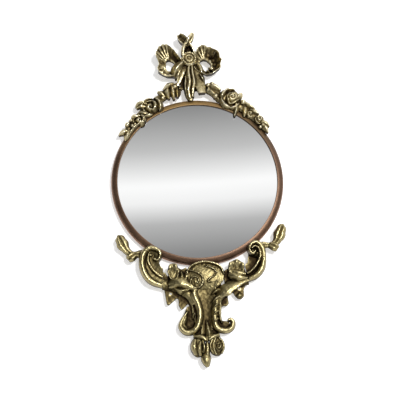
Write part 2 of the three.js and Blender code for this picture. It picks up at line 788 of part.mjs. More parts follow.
const RIGHT_BRACKET = {
  burst: [
    [[18, -160, 5, 14], [30, -157, 5.5, 15], [45, -153, 3, 12]],
    [[30, -150, 4, 12], [42, -145, 5.5, 14], [55, -147, 3, 12]],
    [[26, -142, 4, 10], [32, -139, 4, 12], [38, -133, 2, 10]],
  ],
  boss: { x: 44, z: -143, wide: 8, high: 6.5, rise: 14 },
  upright: [
    { x: 39.5, z: -132.5, wide: 8, high: 12.5, rise: 12, sectors: 10 },
    { x: 49.5, z: -131, wide: 7.5, high: 11, rise: 14, sectors: 10 },
  ],
  strap: [
    [65, -147, 9, 9],
    [48, -152, 8, 10],
    [34, -158, 8, 12],
    [22, -168, 7, 13],
    [14, -181, 6, 13],
    [11, -197, 6, 13],
  ],
  hook: [
    [13, -172, 5, 14],
    [10, -187, 5.5, 14],
    [9, -200, 6, 14],
    [13, -211, 6, 14],
    [23, -217, 5.5, 14],
    [33, -213.5, 5, 14],
    [35.5, -206, 4, 14],
    [31, -202, 3, 13],
    [27, -204, 2, 12],
  ],
  hollow: [[12, -180], [15, -196], [20, -204], [30, -206], [31, -212], [22, -215], [10, -208]],
  tab: [
    [60, -150],
    [54, -164],
    [54, -172],
    [50, -176],
    [45, -175.5],
    [41, -171],
    [39, -166.5],
    [35, -166.5],
    [31, -171],
    [32, -181],
    [29, -184.5],
    [24, -184],
    [18, -188],
    [14, -172],
    [30, -152],
  ],
  hole: [48, -161.5],
};
const TAB = { from: 2, to: 7, hole: 1.8 };
const WEB = { from: BACK.shield, to: 8 };

// Line of the joint between the shield bracket and each upper scroll.
const SCROLL_SEAM = {
  left: { side: -1, line: [[56, -128], [59.5, -158]] },
  right: { side: 1, line: [[58, -128], [62.5, -158]] },
};

// Everything on one side of a scroll's joint: outside it, or inside it where way is -1.
function pastSeam({ side, line: [[x0, z0], [x1, z1]] }, way) {
  const far = 90 * way;
  const near = way < 0 ? GAP : 0;
  const outline = [
    [x0 + near, z0],
    [x0 + far, z0],
    [x1 + far, z1],
    [x1 + near, z1],
  ];
  return plate(side < 0 ? mirrored(outline) : outline, -1, DEEP);
}

function bracketSide({ burst, boss, upright, strap, hook, hollow, tab }) {
  return [
    ...burst.map((route) => leaf(route, BACK.shield)),
    ...[boss, ...upright].map((form) => bud(form, BACK.shield)),
    band(strap, BACK.shield + 1, { section: HOLLOW, steps: 6 }),
    band(hook, BACK.shield, { section: CHANNEL, steps: 11 }),
    plate(hollow, WEB.from, WEB.to),
    plate(tab, TAB.from, TAB.to),
  ];
}

function shieldBracket() {
  const radii = new THREE.CatmullRomCurve3(
    SHIELD.radii.map((radius) => new THREE.Vector3(radius, 0, 0)),
    true,
  );
  const field = {
    ...SHIELD,
    base: BACK.shield,
    sectors: 18,
    rings: 3,
    outline: (angle) => radii.getPoint(angle / (2 * Math.PI)).x,
    rise: (share) => SHIELD.rise * (0.72 + 0.28 * Math.cos((share * Math.PI) / 2)),
  };
  const solid = fused([
    mound(field),
    edging(SHIELD_RIM, BACK.shield, 10),
    ...CURLS.map((route) => edging(route, BACK.shield, 8)),
    band(NECK, BACK.shield, { section: HOLLOW, steps: 6 }),
    edging(SPEAR, BACK.shield, 5),
    plate(BODY_WEB, WEB.from, WEB.to),
    ...bracketSide(LEFT_BRACKET),
    ...bracketSide(RIGHT_BRACKET),
    band(CALYX, BACK.shield, { steps: 6 }),
    box([-16, 16], [BACK.shield, 10.5], [-140, 2 - RING.outer]),
  ]);
  return cut(solid, [
    ringRoom,
    pastSeam(SCROLL_SEAM.left, 1),
    pastSeam(SCROLL_SEAM.right, 1),
    ...sideScrewXs.map((x) => sideScrew(x, GAP)),
    ...[LEFT_BRACKET, RIGHT_BRACKET].map(({ hole: [x, z] }) =>
      rod(TAB.hole, -1, DEEP, { x, z, steps: 12 }),
    ),
    ...BUDS.flatMap((form) => [budRoom(form), budPin(form, GAP)]),
    dropPin(GAP),
  ]);
}

// ---------------------------------------------------------------- upper scrolls

// Both are written for the right side; the left one is mirrored, with a wider curl.
const SCROLL = {
  right: {
    volute: { x: 75, z: -107, radius: 12.5, rise: 14.5, turns: 1.5 },
    rim: [
      [58, -152, 2.4, 15],
      [73, -146, 2.6, 16],
      [83, -135, 2.8, 16],
      [87, -120, 2.8, 17],
      [85, -105, 2.8, 18],
      [77, -97, 2.8, 19],
      [68, -100, 2.6, 19],
      [65.5, -109, 2.4, 18],
      [70, -115, 2, 17],
      [74.5, -111, 1.6, 17],
    ],
    reed: [[54, -144, 2, 13], [68, -139, 2, 14], [77, -130, 2, 15], [80.5, -118, 2, 16]],
    strap: [
      [50, -146, 9, 9],
      [64, -143, 10, 10],
      [75, -133, 11, 10],
      [77, -119, 11.5, 11],
      [75, -106, 11, 12],
    ],
    wing: [
      [84, -101.5, 5, 7],
      [95, -102, 4.5, 7],
      [103, -100.5, 5.5, 7],
      [108.5, -93, 7.2, 8],
      [113.5, -84, 7.2, 8],
      [117, -76.5, 5, 6],
      [118, -73.5, 2.5, 5],
    ],
    lobe: [[98, -101, 4, 7], [104, -104, 5.2, 8], [107, -108, 3, 6]],
  },
  left: {
    volute: { x: 71, z: -107, radius: 13.5, rise: 14.5, turns: 1.5 },
    rim: [
      [58, -153, 2.4, 15],
      [73, -146, 2.8, 16],
      [83, -135, 3, 16],
      [87.5, -119, 3, 17],
      [83, -103, 3, 18],
      [73, -97, 3, 19],
      [63, -100, 3, 19],
      [59, -108, 2.6, 18],
      [63, -116, 2, 17],
      [69, -114, 1.6, 17],
    ],
    reed: [[54, -142, 2, 13], [66, -137, 2, 14], [74, -129, 2.2, 15], [77, -118, 2.2, 15]],
    strap: [
      [50, -146, 9, 9],
      [63, -142, 10, 10],
      [74, -133, 11, 10],
      [76.5, -119, 11.5, 11],
      [73, -106, 11, 12],
    ],
    wing: [
      [84, -104.5, 6, 7],
      [95, -104.5, 5, 7],
      [103, -102, 5.5, 7],
      [109.5, -94, 6.6, 8],
      [114.5, -85, 6.2, 8],
      [117, -79, 4.4, 6],
      [118, -75.5, 2.2, 5],
    ],
    lobe: [[96, -103, 4.5, 7], [103, -106.5, 5.6, 8], [106, -110, 3.4, 6]],
  },
};

function scroll(name) {
  const { volute, rim, reed, strap, wing, lobe } = SCROLL[name];
  const seam = SCROLL_SEAM[name];
  const onSide = (route) => (seam.side < 0 ? mirrored(route) : route);
  const curl = {
    ...volute,
    x: seam.side * volute.x,
    turns: seam.side * volute.turns,
    petals: 0,
    twist: 1,
  };
  const solid = fused([
    band(onSide(strap), BACK.scroll, { steps: 8 }),
    rose(curl, BACK.scroll),
    edging(onSide(rim), BACK.scroll, 16),
    edging(onSide(reed), BACK.scroll, 7),
    band(onSide(wing), BACK.wing, { section: LEAF, steps: 9 }),
    leaf(onSide(lobe), BACK.wing),
  ]);
  return cut(solid, [ringRoom, pastSeam(seam, -1), ringScrew(`scroll_screw_${name}`, GAP)]);
}

// ---------------------------------------------------------------- rosebuds and drop

const BUDS = [
  { name: "rosebud_left", x: -14.5, z: -238.5, wide: 10.8, high: 13.5, pinX: -11.6 },
  { name: "rosebud_right", x: 10.5, z: -238.5, wide: 10.6, high: 13.5, pinX: 8.4 },
];
const BUD_PIN = { radius: 1.2, forward: 8, into: 5, above: 3 };
const DROP = { x: -4.5, z: -257.5, wide: 5.6, high: 8.5, rise: 11, sectors: 10 };
const DROP_STEM = [
  [-1.9, -234, 2.4, 7],
  [-1.9, -238.5, 1.4, 7],
  [-2.6, -246, 3, 8],
  [-4, -254, 4, 9],
];
const DROP_PIN = { x: -1.9, top: -226, radius: 1.1, forward: 7 };

// Pin with its axis along Z, by its x, forward distance, ends and radius.
function uprightPin({ x, forward, bottom, top, radius }, grow) {
  const r = radius + grow;
  const profile = [[0, bottom - grow], [r, bottom - grow], [r, top + grow], [0, top + grow]];
  const points = profile.map(([out, height]) => new THREE.Vector2(out, height));
  const geometry = new THREE.LatheGeometry(points, SCREW.sides);
  return solidOf(geometry.rotateX(Math.PI / 2).translate(x, -forward, 0));
}
function budPin({ pinX, z, high }, grow = 0) {
  const top = z + high + BUD_PIN.above;
  return uprightPin({ ...BUD_PIN, x: pinX, bottom: z + high - BUD_PIN.into, top }, grow);
}
const dropPin = (grow = 0) => uprightPin({ ...DROP_PIN, bottom: DROP.z }, grow);

function rosebud({ x, z, wide, high }) {
  const rise = (share, angle) =>
    14 * (0.5 + 0.5 * Math.cos((share * Math.PI) / 2.2)) + 2 - 2 * spiral(share, angle, 1.5, 1);
  const outline = oval(wide, high);
  return mound({ x, z, base: BACK.bud, sectors: 16, rings: 5, outline, rise });
}
const hangingBud = (form) => rosebud(form).add(budPin(form));

// The hollow under the bracket's leaves that a bud sits in.
function budRoom({ x, z, wide, high }) {
  const outline = oval(wide + GAP, high + GAP);
  const points = Array.from({ length: 16 }, (_, k) => {
    const angle = (k / 16) * 2 * Math.PI;
    return [x + outline(angle) * Math.cos(angle), z + outline(angle) * Math.sin(angle)];
  });
  return plate(points, -1, DEEP);
}
function drop() {
  const hung = fused([bud(DROP, BACK.bud), band(DROP_STEM, BACK.bud, { steps: 5 }), dropPin()]);
  return cut(hung, BUDS.map(budRoom));
}

// ---------------------------------------------------------------- assembly

const mirror = new THREE.Group();
function add(name, solid, finish) {
  const mesh = new THREE.Mesh(geometryOf(solid), new THREE.MeshStandardMaterial(finish));
  mesh.name = name;
  mirror.add(mesh);
}

add("frame_ring", frameRing(), BRONZE);
add("mirror_glass", mirrorGlass(), SILVERED);
add("packing_sheet", packing(), CARD);
add("back_board", backBoard(), WOOD);
BUTTON.angles.forEach((angle, i) => {
  add(`turn_button_${i + 1}`, turnButton(angle), STEEL);
  add(`turn_button_screw_${i + 1}`, landScrew(angle, BUTTON.thick), STEEL);
});
add("hanger_plate", hangerPlate(), STEEL);
add("hanging_loop", hangingLoop(), STEEL);
hangerAngles.forEach((angle, i) => {
  add(`hanger_screw_${i + 1}`, landScrew(angle, HANGER.thick), STEEL);
});
BUMPER.angles.forEach((angle, i) => add(`wall_bumper_${i + 1}`, bumper(angle), FELT));

add("bow", bow(), BRASS);
add("rosette", rosette(), BRASS);
add("garland_left", garland(LEFT_GARLAND, "left"), BRASS);
add("garland_right", garland(RIGHT_GARLAND, "right"), BRASS);
add("garland_lap_screw_left", lapScrew("left"), STEEL);
add("garland_lap_screw_right", lapScrew("right"), STEEL);
Object.keys(RING_SCREWS).forEach((name) => add(name, ringScrew(name), STEEL));

add("shield_bracket", shieldBracket(), BRASS);
sideScrewXs.forEach((x, i) => add(`shield_screw_${i + 1}`, sideScrew(x), STEEL));
add("scroll_left", scroll("left"), BRASS);
add("scroll_right", scroll("right"), BRASS);
BUDS.forEach((form) => add(form.name, hangingBud(form), BRASS));
add("pendant_drop", drop(), BRASS);

export default mirror;
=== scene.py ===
# Round wall mirror in a turned ring, with a cast brass bow and garlands above it and a scrolled
# bracket with rosebuds below it. Reliefs are written in millimetres as [x, z], with "forward" the
# distance in front of the mirror's back face, and become metres when a piece is made.
import math

import bmesh
import bpy
import numpy as np
from mathutils import Matrix, Vector
from mathutils.geometry import tessellate_polygon


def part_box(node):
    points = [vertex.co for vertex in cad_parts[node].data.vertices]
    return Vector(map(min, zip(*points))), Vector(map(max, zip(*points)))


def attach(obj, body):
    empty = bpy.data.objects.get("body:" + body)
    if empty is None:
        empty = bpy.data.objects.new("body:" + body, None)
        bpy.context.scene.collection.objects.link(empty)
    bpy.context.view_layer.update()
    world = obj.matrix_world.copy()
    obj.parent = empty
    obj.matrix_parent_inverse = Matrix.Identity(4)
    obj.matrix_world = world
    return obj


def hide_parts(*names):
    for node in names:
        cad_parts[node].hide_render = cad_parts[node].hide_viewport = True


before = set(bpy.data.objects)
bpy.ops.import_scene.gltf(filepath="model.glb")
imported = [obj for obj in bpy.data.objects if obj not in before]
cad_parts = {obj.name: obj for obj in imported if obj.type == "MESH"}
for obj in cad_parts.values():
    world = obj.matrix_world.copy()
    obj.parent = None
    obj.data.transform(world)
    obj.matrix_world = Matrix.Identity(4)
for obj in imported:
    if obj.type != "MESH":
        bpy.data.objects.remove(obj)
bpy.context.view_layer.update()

MM = 0.001

# ------------------------------------------------------------------ driving dimensions

RING_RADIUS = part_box("frame_ring")[1].x / MM
RING_DEPTH = -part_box("frame_ring")[0].y / MM
GLASS_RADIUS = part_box("mirror_glass")[1].x / MM
GLASS_BACK = -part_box("mirror_glass")[1].y / MM
GLASS_FRONT = -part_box("mirror_glass")[0].y / MM
BOARD_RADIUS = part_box("back_board")[1].x / MM
BOARD_FRONT = -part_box("back_board")[0].y / MM
SIGHT_RADIUS = 115.5  # opening in front of the glass
SEAT_RADIUS = 120.4  # seat behind it
RING_SIDE = 4  # height of the ring's straight outer side
LIP = 9.5  # forward distance of the seat's floor
FIXING_RADIUS = 122.6  # circle of the screws in the ring's back
GAP = 0.3  # clearance between pieces that meet
AXIS = 0.5  # radius at which a turned profile starts and ends
ROD_STEPS = 32
IN_FRONT = 40  # forward distance beyond every casting
BACK = {"bow": 7, "garland": 6, "shield": 1, "scroll": 2.5, "wing": 5, "bud": 2.5}
VOXEL = 0.6  # grain of the fused castings
# Screw heads: those that go through the ring are cones let in flush, the others are domes.
HEAD = {
    "radius": 2, "shank": 1.1, "slot": 0.6, "cone": 1.2, "eased": 0.15, "dome": 1.1, "crown": 0.2,
    "clear": 0.4, "let_in": 0.1, "cone_slot": 0.55, "dome_slot": 0.35,
}


# ------------------------------------------------------------------ closed skins

def full_turn(count):
    return np.linspace(0, 2 * math.pi, count, endpoint=False)


def smooth(stations, count, closed=False):
    """Points along the smooth line through the stations."""
    points = np.array(stations, float)
    spans = len(points) if closed else len(points) - 1
    place = np.linspace(0, spans, count, endpoint=not closed)
    first = np.minimum(place.astype(int), spans - 1)
    part = (place - first)[:, None]
    if closed:
        a, b, c, d = (points[(first + k) % len(points)] for k in (-1, 0, 1, 2))
    else:
        ends = [2 * points[0] - points[1]], points, [2 * points[-1] - points[-2]]
        padded = np.vstack(ends)
        a, b, c, d = (padded[first + k] for k in range(4))
    bend = 2 * a - 5 * b + 4 * c - d + part * (3 * (b - c) + d - a)
    return b + 0.5 * part * (c - a + part * bend)


def skin(rings, closed=False):
    """Points and faces of the closed skin through rows of points."""
    rows, count, _ = rings.shape
    grid = np.arange(rows * count).reshape(rows, count)
    here = grid if closed else grid[:-1]
    after = np.roll(grid, -1, axis=0) if closed else grid[1:]
    corners = [here, np.roll(here, -1, axis=1), np.roll(after, -1, axis=1), after]
    faces = np.stack(corners, axis=-1).reshape(-1, 4).tolist()
    if not closed:
        faces += [grid[0].tolist()[::-1], grid[-1].tolist()]
    return rings.reshape(-1, 3), faces


def stacked(*columns):
    """Points from their x, forward and z, which may be single numbers."""
    return np.stack(np.broadcast_arrays(*columns), axis=-1).astype(float)


def plate(outline, start, end):
    """Flat plate between two forward distances."""
    edge = np.array(outline, float)
    tiles = [list(tile) for tile in tessellate_polygon([[Vector((x, z, 0)) for x, z in edge]])]
    count = len(edge)
    points = np.vstack([stacked(edge[:, 0], level, edge[:, 1]) for level in (start, end)])
    faces = [tile[::-1] for tile in tiles] + [[i + count for i in tile] for tile in tiles]
    ring = list(range(count))
    faces += [[a, b, b + count, a + count] for a, b in zip(ring, ring[1:] + ring[:1])]
    return points, faces


def turned(profile, steps, x=0, z=0, closed=False):
    """Turned skin: a profile of (radius, forward) round a line along the forward axis."""
    turn = full_turn(steps)[:, None]
    radius, forward = np.array(profile, float).T
    rings = stacked(x + radius * np.cos(turn), forward + 0 * turn, z + radius * np.sin(turn))
    if closed:
        return skin(rings, closed=True)
    return skin(rings.transpose(1, 0, 2))


def rod(radius, start, end, x, z):
    return turned([(radius, start), (radius, end)], ROD_STEPS, x, z)


def block(xs, forwards, zs):
    (x0, x1), (z0, z1) = xs, zs
    return plate([[x0, z0], [x1, z0], [x1, z1], [x0, z1]], *forwards)


def polar(radius, angle):
    return radius * math.cos(math.radians(angle)), radius * math.sin(math.radians(angle))


def mirrored(route):
    return [[-x, *rest] for x, *rest in route]


# ------------------------------------------------------------------ sections across a band

# Height of a band as a share of its rise, by u, from -1 at its left edge to 1 at its right.

def rounded(u):
    return 0.4 + 0.6 * np.sqrt(np.clip(1 - u * u, 0, 1))


def crest(u):
    return 0.62 + 0.38 * (1 - np.abs(u)) ** 0.8


def dished(u):
    return 0.78 + 0.2 * u * u


def cupped(u):
    return 0.58 + 0.36 * np.abs(u) ** 1.6


def lobed(u):
    """Broad leaf: two halves that swell beside a sunk midrib."""
    return 0.5 + 0.22 * (1 - np.abs(u)) + 0.36 * np.sin(math.pi * np.abs(u) ** 0.85)


def folded(u):
    """Narrow leaf: two facets that meet in a ridge off its middle."""
    return 0.5 + 0.5 * (1 - np.abs(u + 0.2) / 1.2) ** 0.9


def two_lobed(u):
    """Curled leaf: a full lobe with a lesser one tucked behind its right side."""
    full = 1 - ((u + 0.3) / 0.74) ** 2
    lesser = 0.45 * (1 - ((u - 0.62) / 0.42) ** 2)
    return 0.4 + 0.6 * np.sqrt(np.clip(np.maximum(full, lesser), 0, 1))


def leaning(lean):
    """Section that climbs to its right where lean is positive, and to its left where not."""

    def height(u):
        return 0.66 + 0.3 * lean * u + 0.16 * (1 - u * u)

    return height


# ------------------------------------------------------------------ moulded forms

UNDERCUT = 0.8  # a band's back is narrower than its front
BROAD_LEAF = 5.4  # half width from which a leaf shows a midrib
FROND_LOBES = 6
RUFFLE_STEPS = 480
RIDGE_TAPER = 0.6  # a fold's width at its ends, as a share of the middle's
# Across a ruffled ribbon, from its hole to its edge and down again: share of the way, height as
# a share of the rise, how far the flutes show.
RIBBON = [
    (0, 0, 0), (0.02, 0.4, 0.2), (0.1, 0.5, 0.5), (0.22, 0.5, 0.7), (0.35, 0.52, 0.9),
    (0.48, 0.56, 1), (0.6, 0.62, 1), (0.72, 0.7, 1), (0.82, 0.79, 1), (0.9, 0.88, 1),
    (0.955, 1.0, 0.9), (1, 0.88, 0.8), (0.85, 0, 0),
]


def band(route, base, section=rounded, across=13, pitch=1.1, waves=0, wave=0.1):
    """Flat-backed band along a route of [x, z, half width, rise]."""
    places = np.array(route, float)
    length = np.hypot(*np.diff(places[:, :2], axis=0).T).sum()
    steps = max(8, int(length / pitch))
    x, z, half, rise = (column[:, None] for column in smooth(route, steps).T)
    t = np.linspace(0, 1, steps)[:, None]
    along = np.gradient(np.hstack([x, z]), axis=0)
    along /= np.maximum(np.hypot(*along.T), 1e-9)[:, None]
    side_x, side_z = along[:, 1:], -along[:, :1]
    half = np.maximum(half * (1 + wave * np.sin(2 * math.pi * waves * t)), 0.3)
    u = np.linspace(-1, 1, across)[None, :]
    front = stacked(x + side_x * u * half, base + rise * section(u), z + side_z * u * half)
    under = np.array([[UNDERCUT, -UNDERCUT]])
    back = stacked(x + side_x * under * half, base, z + side_z * under * half)
    return skin(np.concatenate([front, back], axis=1))


def ridge(x0, z0, x1, z1, half, rise, base, bow=0.0):
    """Narrow raised fold from one place to another, bowed to its left."""
    across = np.array([z0 - z1, x1 - x0]) * bow
    middle = [(x0 + x1) / 2 + across[0], (z0 + z1) / 2 + across[1], half, rise]
    start = [x0, z0, half * RIDGE_TAPER, rise * 0.92]
    end = [x1, z1, half * RIDGE_TAPER, rise * 0.85]
    return band([start, middle, end], base, crest, across=7, pitch=0.8)


def leaf(route, base):
    broad = max(station[2] for station in route) > BROAD_LEAF
    return band(route, base, lobed if broad else folded, across=17, pitch=0.9)


def mound(x, z, base, outline, rise, sectors, rings, heart=(0, 0)):
    """Flat-backed mound with a radius outline(angle) and a height rise(share, angle), where
    share is 0 at its heart and 1 at its edge."""
    angle = full_turn(sectors)[None, :]
    share = np.linspace(1, 0.03, rings)[:, None]
    radius = outline(angle)
    front = stacked(
        x + heart[0] * (1 - share) + np.cos(angle) * radius * share,
        base + rise(share, angle),
        z + heart[1] * (1 - share) + np.sin(angle) * radius * share,
    )
    under = radius * (0.5 + UNDERCUT / 2)
    back = stacked(x + np.cos(angle) * under, base, z + np.sin(angle) * under)
    return skin(np.concatenate([back, front]))


def oval(wide, high):
    return lambda angle: 1 / np.hypot(np.cos(angle) / wide, np.sin(angle) / high)


def frond(x, z, wide, high, rise, turn, base):
    """Shell-like leaf: flutes that fan from its foot to a scalloped rim."""

    def outline(angle):
        scallop = 0.08 * np.abs(np.sin(FROND_LOBES * (angle - turn) / 2))
        return oval(wide, high)(angle) * (1 - scallop)

    def height(share, angle):
        flute = 0.06 * np.cos(FROND_LOBES * (angle - turn)) * share
        rim = 0.16 * np.exp(-(((share - 0.82) / 0.22) ** 2))
        return rise * (0.74 + flute + rim)

    heart = (0, -0.75 * high)
    return mound(x, z, base, outline, height, sectors=96, rings=28, heart=heart)


def bud(x, z, wide, rise, base, high=None):
    """Round mound: a berry, a boss or the body of a bud."""

    def height(share, angle):
        return rise * (0.35 + 0.65 * np.sqrt(np.clip(1 - share * share, 0, 1)))

    return mound(x, z, base, oval(wide, high or wide), height, sectors=40, rings=12)


def spiral(share, angle, turns, twist):
    """How far round its spiral a fold has come, from 0 to 1."""
    turn = turns * share - (angle - twist) / (2 * math.pi)
    return turn - np.floor(turn)


def rose(x, z, radius, rise, base, turns, petals=3, twist=0.0, deep=0.3):
    """Rose: petals wound in a spiral round its heart."""

    def outline(angle):
        return radius * (1 - 0.1 * np.abs(np.sin(petals * (angle - twist) / 2)))

    def height(share, angle):
        scallop = 0.08 * np.sin(petals * (angle - twist) + 5 * share)
        fold = spiral(share + scallop * share, angle, turns, twist)
        lip = 1 - fold - 1.1 * np.exp(-((fold / 0.13) ** 2))
        dome = 0.42 + 0.58 * np.cos(share * math.pi / 2.15)
        return rise * (dome * (1 - deep / 2) + deep * (lip - 0.3))

    return mound(x, z, base, outline, height, sectors=110, rings=44)


def petal(x, z, radius, start, end, half, rise, base):
    """Curled petal: an arc round a rose's heart with its lip turned out."""
    route = []
    for share in np.linspace(0, 1, 7):
        swell = math.sin(math.pi * share) ** 0.6
        across, up = polar(radius, start + (end - start) * share)
        wide, high = half * (0.3 + 0.7 * swell), rise * (0.85 + 0.15 * swell)
        route.append([x + across, z + up, wide, high])
    return band(route, base, folded, across=13)


def ruffle(x, z, base, stations, pleats):
    """Ribbon ruffled round a hole, which its flutes run down to. Stations are (degrees, hole
    radius, outer radius, rise, depth of the flutes, depth of the ribbon's scoop)."""
    sizes = smooth([station[1:] for station in stations], RUFFLE_STEPS, closed=True)
    hole, outer, rise, deep, scoop = (column[:, None] for column in sizes.T)
    ways = smooth([polar(1, station[0]) for station in stations], RUFFLE_STEPS, closed=True)
    ways /= np.hypot(*ways.T)[:, None]
    t = np.arange(RUFFLE_STEPS)[:, None] / RUFFLE_STEPS
    fold = 1 - 2 * np.abs(np.cos(math.pi * pleats * t)) ** 8
    share, level, fade = np.array(RIBBON).T[:, None, :]
    radius = hole + (outer * (1 + 0.2 * deep * fold * (share > 0.9)) - hole) * share
    forward = base + rise * (level + deep * fold * fade) - scoop * np.sin(math.pi * share) ** 2
    return skin(stacked(x + ways[:, :1] * radius, forward, z + ways[:, 1:] * radius), closed=True)


# ------------------------------------------------------------------ pieces

def object_of(name, skins):
    """Object made of the skins, in metres."""
    points, faces, first = [], [], 0
    for skin_points, skin_faces in skins:
        points.append(skin_points)
        faces += [[i + first for i in face] for face in skin_faces]
        first += len(skin_points)
    x, forward, z = np.vstack(points).T
    mesh = bpy.data.meshes.new(name)
    mesh.from_pydata(np.stack([x, -forward, z], -1) * MM, [], [face[::-1] for face in faces])
    mesh.update()
    piece = bpy.data.objects.new(name, mesh)
    bpy.context.scene.collection.objects.link(piece)
    return piece


def solid(name, body):
    """Object made of one closed skin, with its faces outwards."""
    piece = object_of(name, [body])
    work = bmesh.new()
    work.from_mesh(piece.data)
    if work.calc_volume(signed=True) < 0:
        bmesh.ops.reverse_faces(work, faces=work.faces)
    work.to_mesh(piece.data)
    work.free()
    return piece


def settled(piece):
    """Applies a piece's modifiers to its mesh."""
    bpy.context.view_layer.update()
    graph = bpy.context.evaluated_depsgraph_get()
    mesh = bpy.data.meshes.new_from_object(piece.evaluated_get(graph))
    piece.modifiers.clear()
    piece.data = mesh
    mesh.name = piece.name


def worked(piece, tools, operation="DIFFERENCE"):
    """Cuts the tools, each a closed skin, out of a piece, or joins them to it."""
    others = [solid("tool", tool) for tool in tools]
    for other in others:
        step = piece.modifiers.new("work", "BOOLEAN")
        step.operation = operation
        step.solver = "MANIFOLD"
        step.object = other
    settled(piece)
    for other in others:
        bpy.data.objects.remove(other)


def points_and_edges(mesh):
    points = np.zeros(len(mesh.vertices) * 3)
    mesh.vertices.foreach_get("co", points)
    edges = np.zeros(len(mesh.edges) * 2, int)
    mesh.edges.foreach_get("vertices", edges)
    return points.reshape(-1, 3), edges.reshape(-1, 2)


def mesh_normals(mesh):
    normals = np.zeros(len(mesh.vertices) * 3)
    mesh.vertices.foreach_get("normal", normals)
    return normals.reshape(-1, 3)


def evened(values, edges, times):
    """Values evened out along a mesh's edges."""
    a, b = edges.T
    count = len(values)
    degree = np.maximum(np.bincount(a, minlength=count) + np.bincount(b, minlength=count), 1)
    for _ in range(times):
        near = np.bincount(a, values[b], count) + np.bincount(b, values[a], count)
        values = 0.5 * values + 0.5 * near / degree
    return values


def grain(points, length, turn):
    """Soft irregular swell between about -1 and 1 with a wavelength in millimetres."""
    x, y, z = points.T / length * 2 * math.pi
    total = np.zeros(len(points))
    for k in range(4):
        a, b = turn + 1.7 * k, 2.3 * turn + 0.9 * k
        way = x * math.cos(a) + z * math.sin(a) + y * math.cos(b)
        total += np.sin(way + 1.3 * np.sin(0.6 * (x * math.sin(b) - z * math.cos(b)) + k))
    return total / 3


RELIEF = "relief"  # how far a place stands out of its surroundings, from 0 to 1, lowered as painted shade where it lies low or turns steeply away
LOW_LYING = 12  # forward distance below which a place is painted darker, as shade lying low between the raised forms
STEEP = 0.6  # how far from facing forward a side has to turn to be painted darker, as shade
FACES_BACK = 0.7
BACK_RELIEF = 0.4  # the castings' backs are dull all over
# How often heights are evened out to find the near and the wide surroundings of a place.
SURROUNDINGS = {"near": 14, "wide": 160}
# What each millimetre out of them, and lying low or steep (painted shade), does to a level place's
# mark.
RELIEF_SHARES = {"level": 0.46, "near": 0.26, "wide": 0.12, "low": -0.75, "steep": -0.45}
# Unevenness of a casting's skin: depth and wavelength in millimetres, turn.
UNEVENNESS = [(0.16, 6.1, 0.4), (0.07, 2.3, 1.9)]


def mark_relief(piece):
    points, edges = points_and_edges(piece.data)
    forward = -points[:, 1] / MM
    away = mesh_normals(piece.data)[:, 1]
    signs = {
        "low": np.clip((LOW_LYING - forward) / LOW_LYING, 0, 1),
        "steep": np.clip(STEEP + away, 0, 1),
    }
    for reach, times in SURROUNDINGS.items():
        signs[reach] = forward - evened(forward, edges, times)
    # Sunk places are marked darker, patina with painted shade over it; low and steep places darker
    # as painted shade; raised edges lighter as wear with a painted highlight.
    relief = RELIEF_SHARES["level"] + sum(RELIEF_SHARES[name] * signs[name] for name in signs)
    relief = np.where(away > FACES_BACK, BACK_RELIEF, np.clip(relief, 0, 1))
    relief = evened(relief, edges, 1)
    attribute = piece.data.attributes.new(RELIEF, "FLOAT", "POINT")
    attribute.data.foreach_set("value", relief.astype(np.float32))


def soften(piece):
    """Rounds a fused casting's edges a little and makes its skin uneven."""
    points, edges = points_and_edges(piece.data)
    points = np.stack([evened(column, edges, 1) for column in points.T], -1)
    uneven = sum(depth * grain(points / MM, *wave) for depth, *wave in UNEVENNESS)
    points += mesh_normals(piece.data) * uneven[:, None] * MM
    piece.data.vertices.foreach_set("co", points.ravel())
    piece.data.update()


def finished(piece, material, slot, body, *nodes, crease=40):
    """Gives a piece its finish, body and the CAD nodes that it stands for."""
    piece.data.materials.clear()
    piece.data.materials.append(material)
    piece.data.shade_smooth()
    piece.data.set_sharp_from_angle(angle=math.radians(crease))
    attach(piece, body)
    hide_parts(*nodes)


def casting(name, skins, tools, material, voxel=VOXEL):
    """Fuses moulded forms into one casting, cuts it and marks how far each place stands out, with
    painted shade where it lies low or turns steeply away.
    """
    piece = object_of(f"{name}_casting", skins)
    fuse = piece.modifiers.new("fuse", "REMESH")
    fuse.mode = "VOXEL"
    fuse.voxel_size = voxel * MM
    settled(piece)
    soften(piece)
    worked(piece, tools)
    mark_relief(piece)
    finished(piece, material, "cast_brass", "mirror", name, crease=60)


# ------------------------------------------------------------------ finishes

class Socket:
    """A number in a finish. Arithmetic on it adds the nodes that work it out."""

    def __init__(self, finish, output):
        self.finish = finish
        self.output = output

    def _with(self, operation, first, second):
        return self.finish.node("ShaderNodeMath", {"operation": operation}, [first, second])

    def __add__(self, other):
        return self._with("ADD", self, other)

    __radd__ = __add__

    def __mul__(self, other):
        return self._with("MULTIPLY", self, other)

    __rmul__ = __mul__

    def __sub__(self, other):
        return self._with("SUBTRACT", self, other)

    def __rsub__(self, other):
        return self._with("SUBTRACT", other, self)

    def clamped(self):
        settings = {"operation": "ADD", "use_clamp": True}
        return self.finish.node("ShaderNodeMath", settings, [self, 0.0])


def opaque(colour):
    """A colour with its alpha. Anything that isn't a colour stays as it is."""
    return (*colour, 1) if isinstance(colour, tuple) and len(colour) == 3 else colour


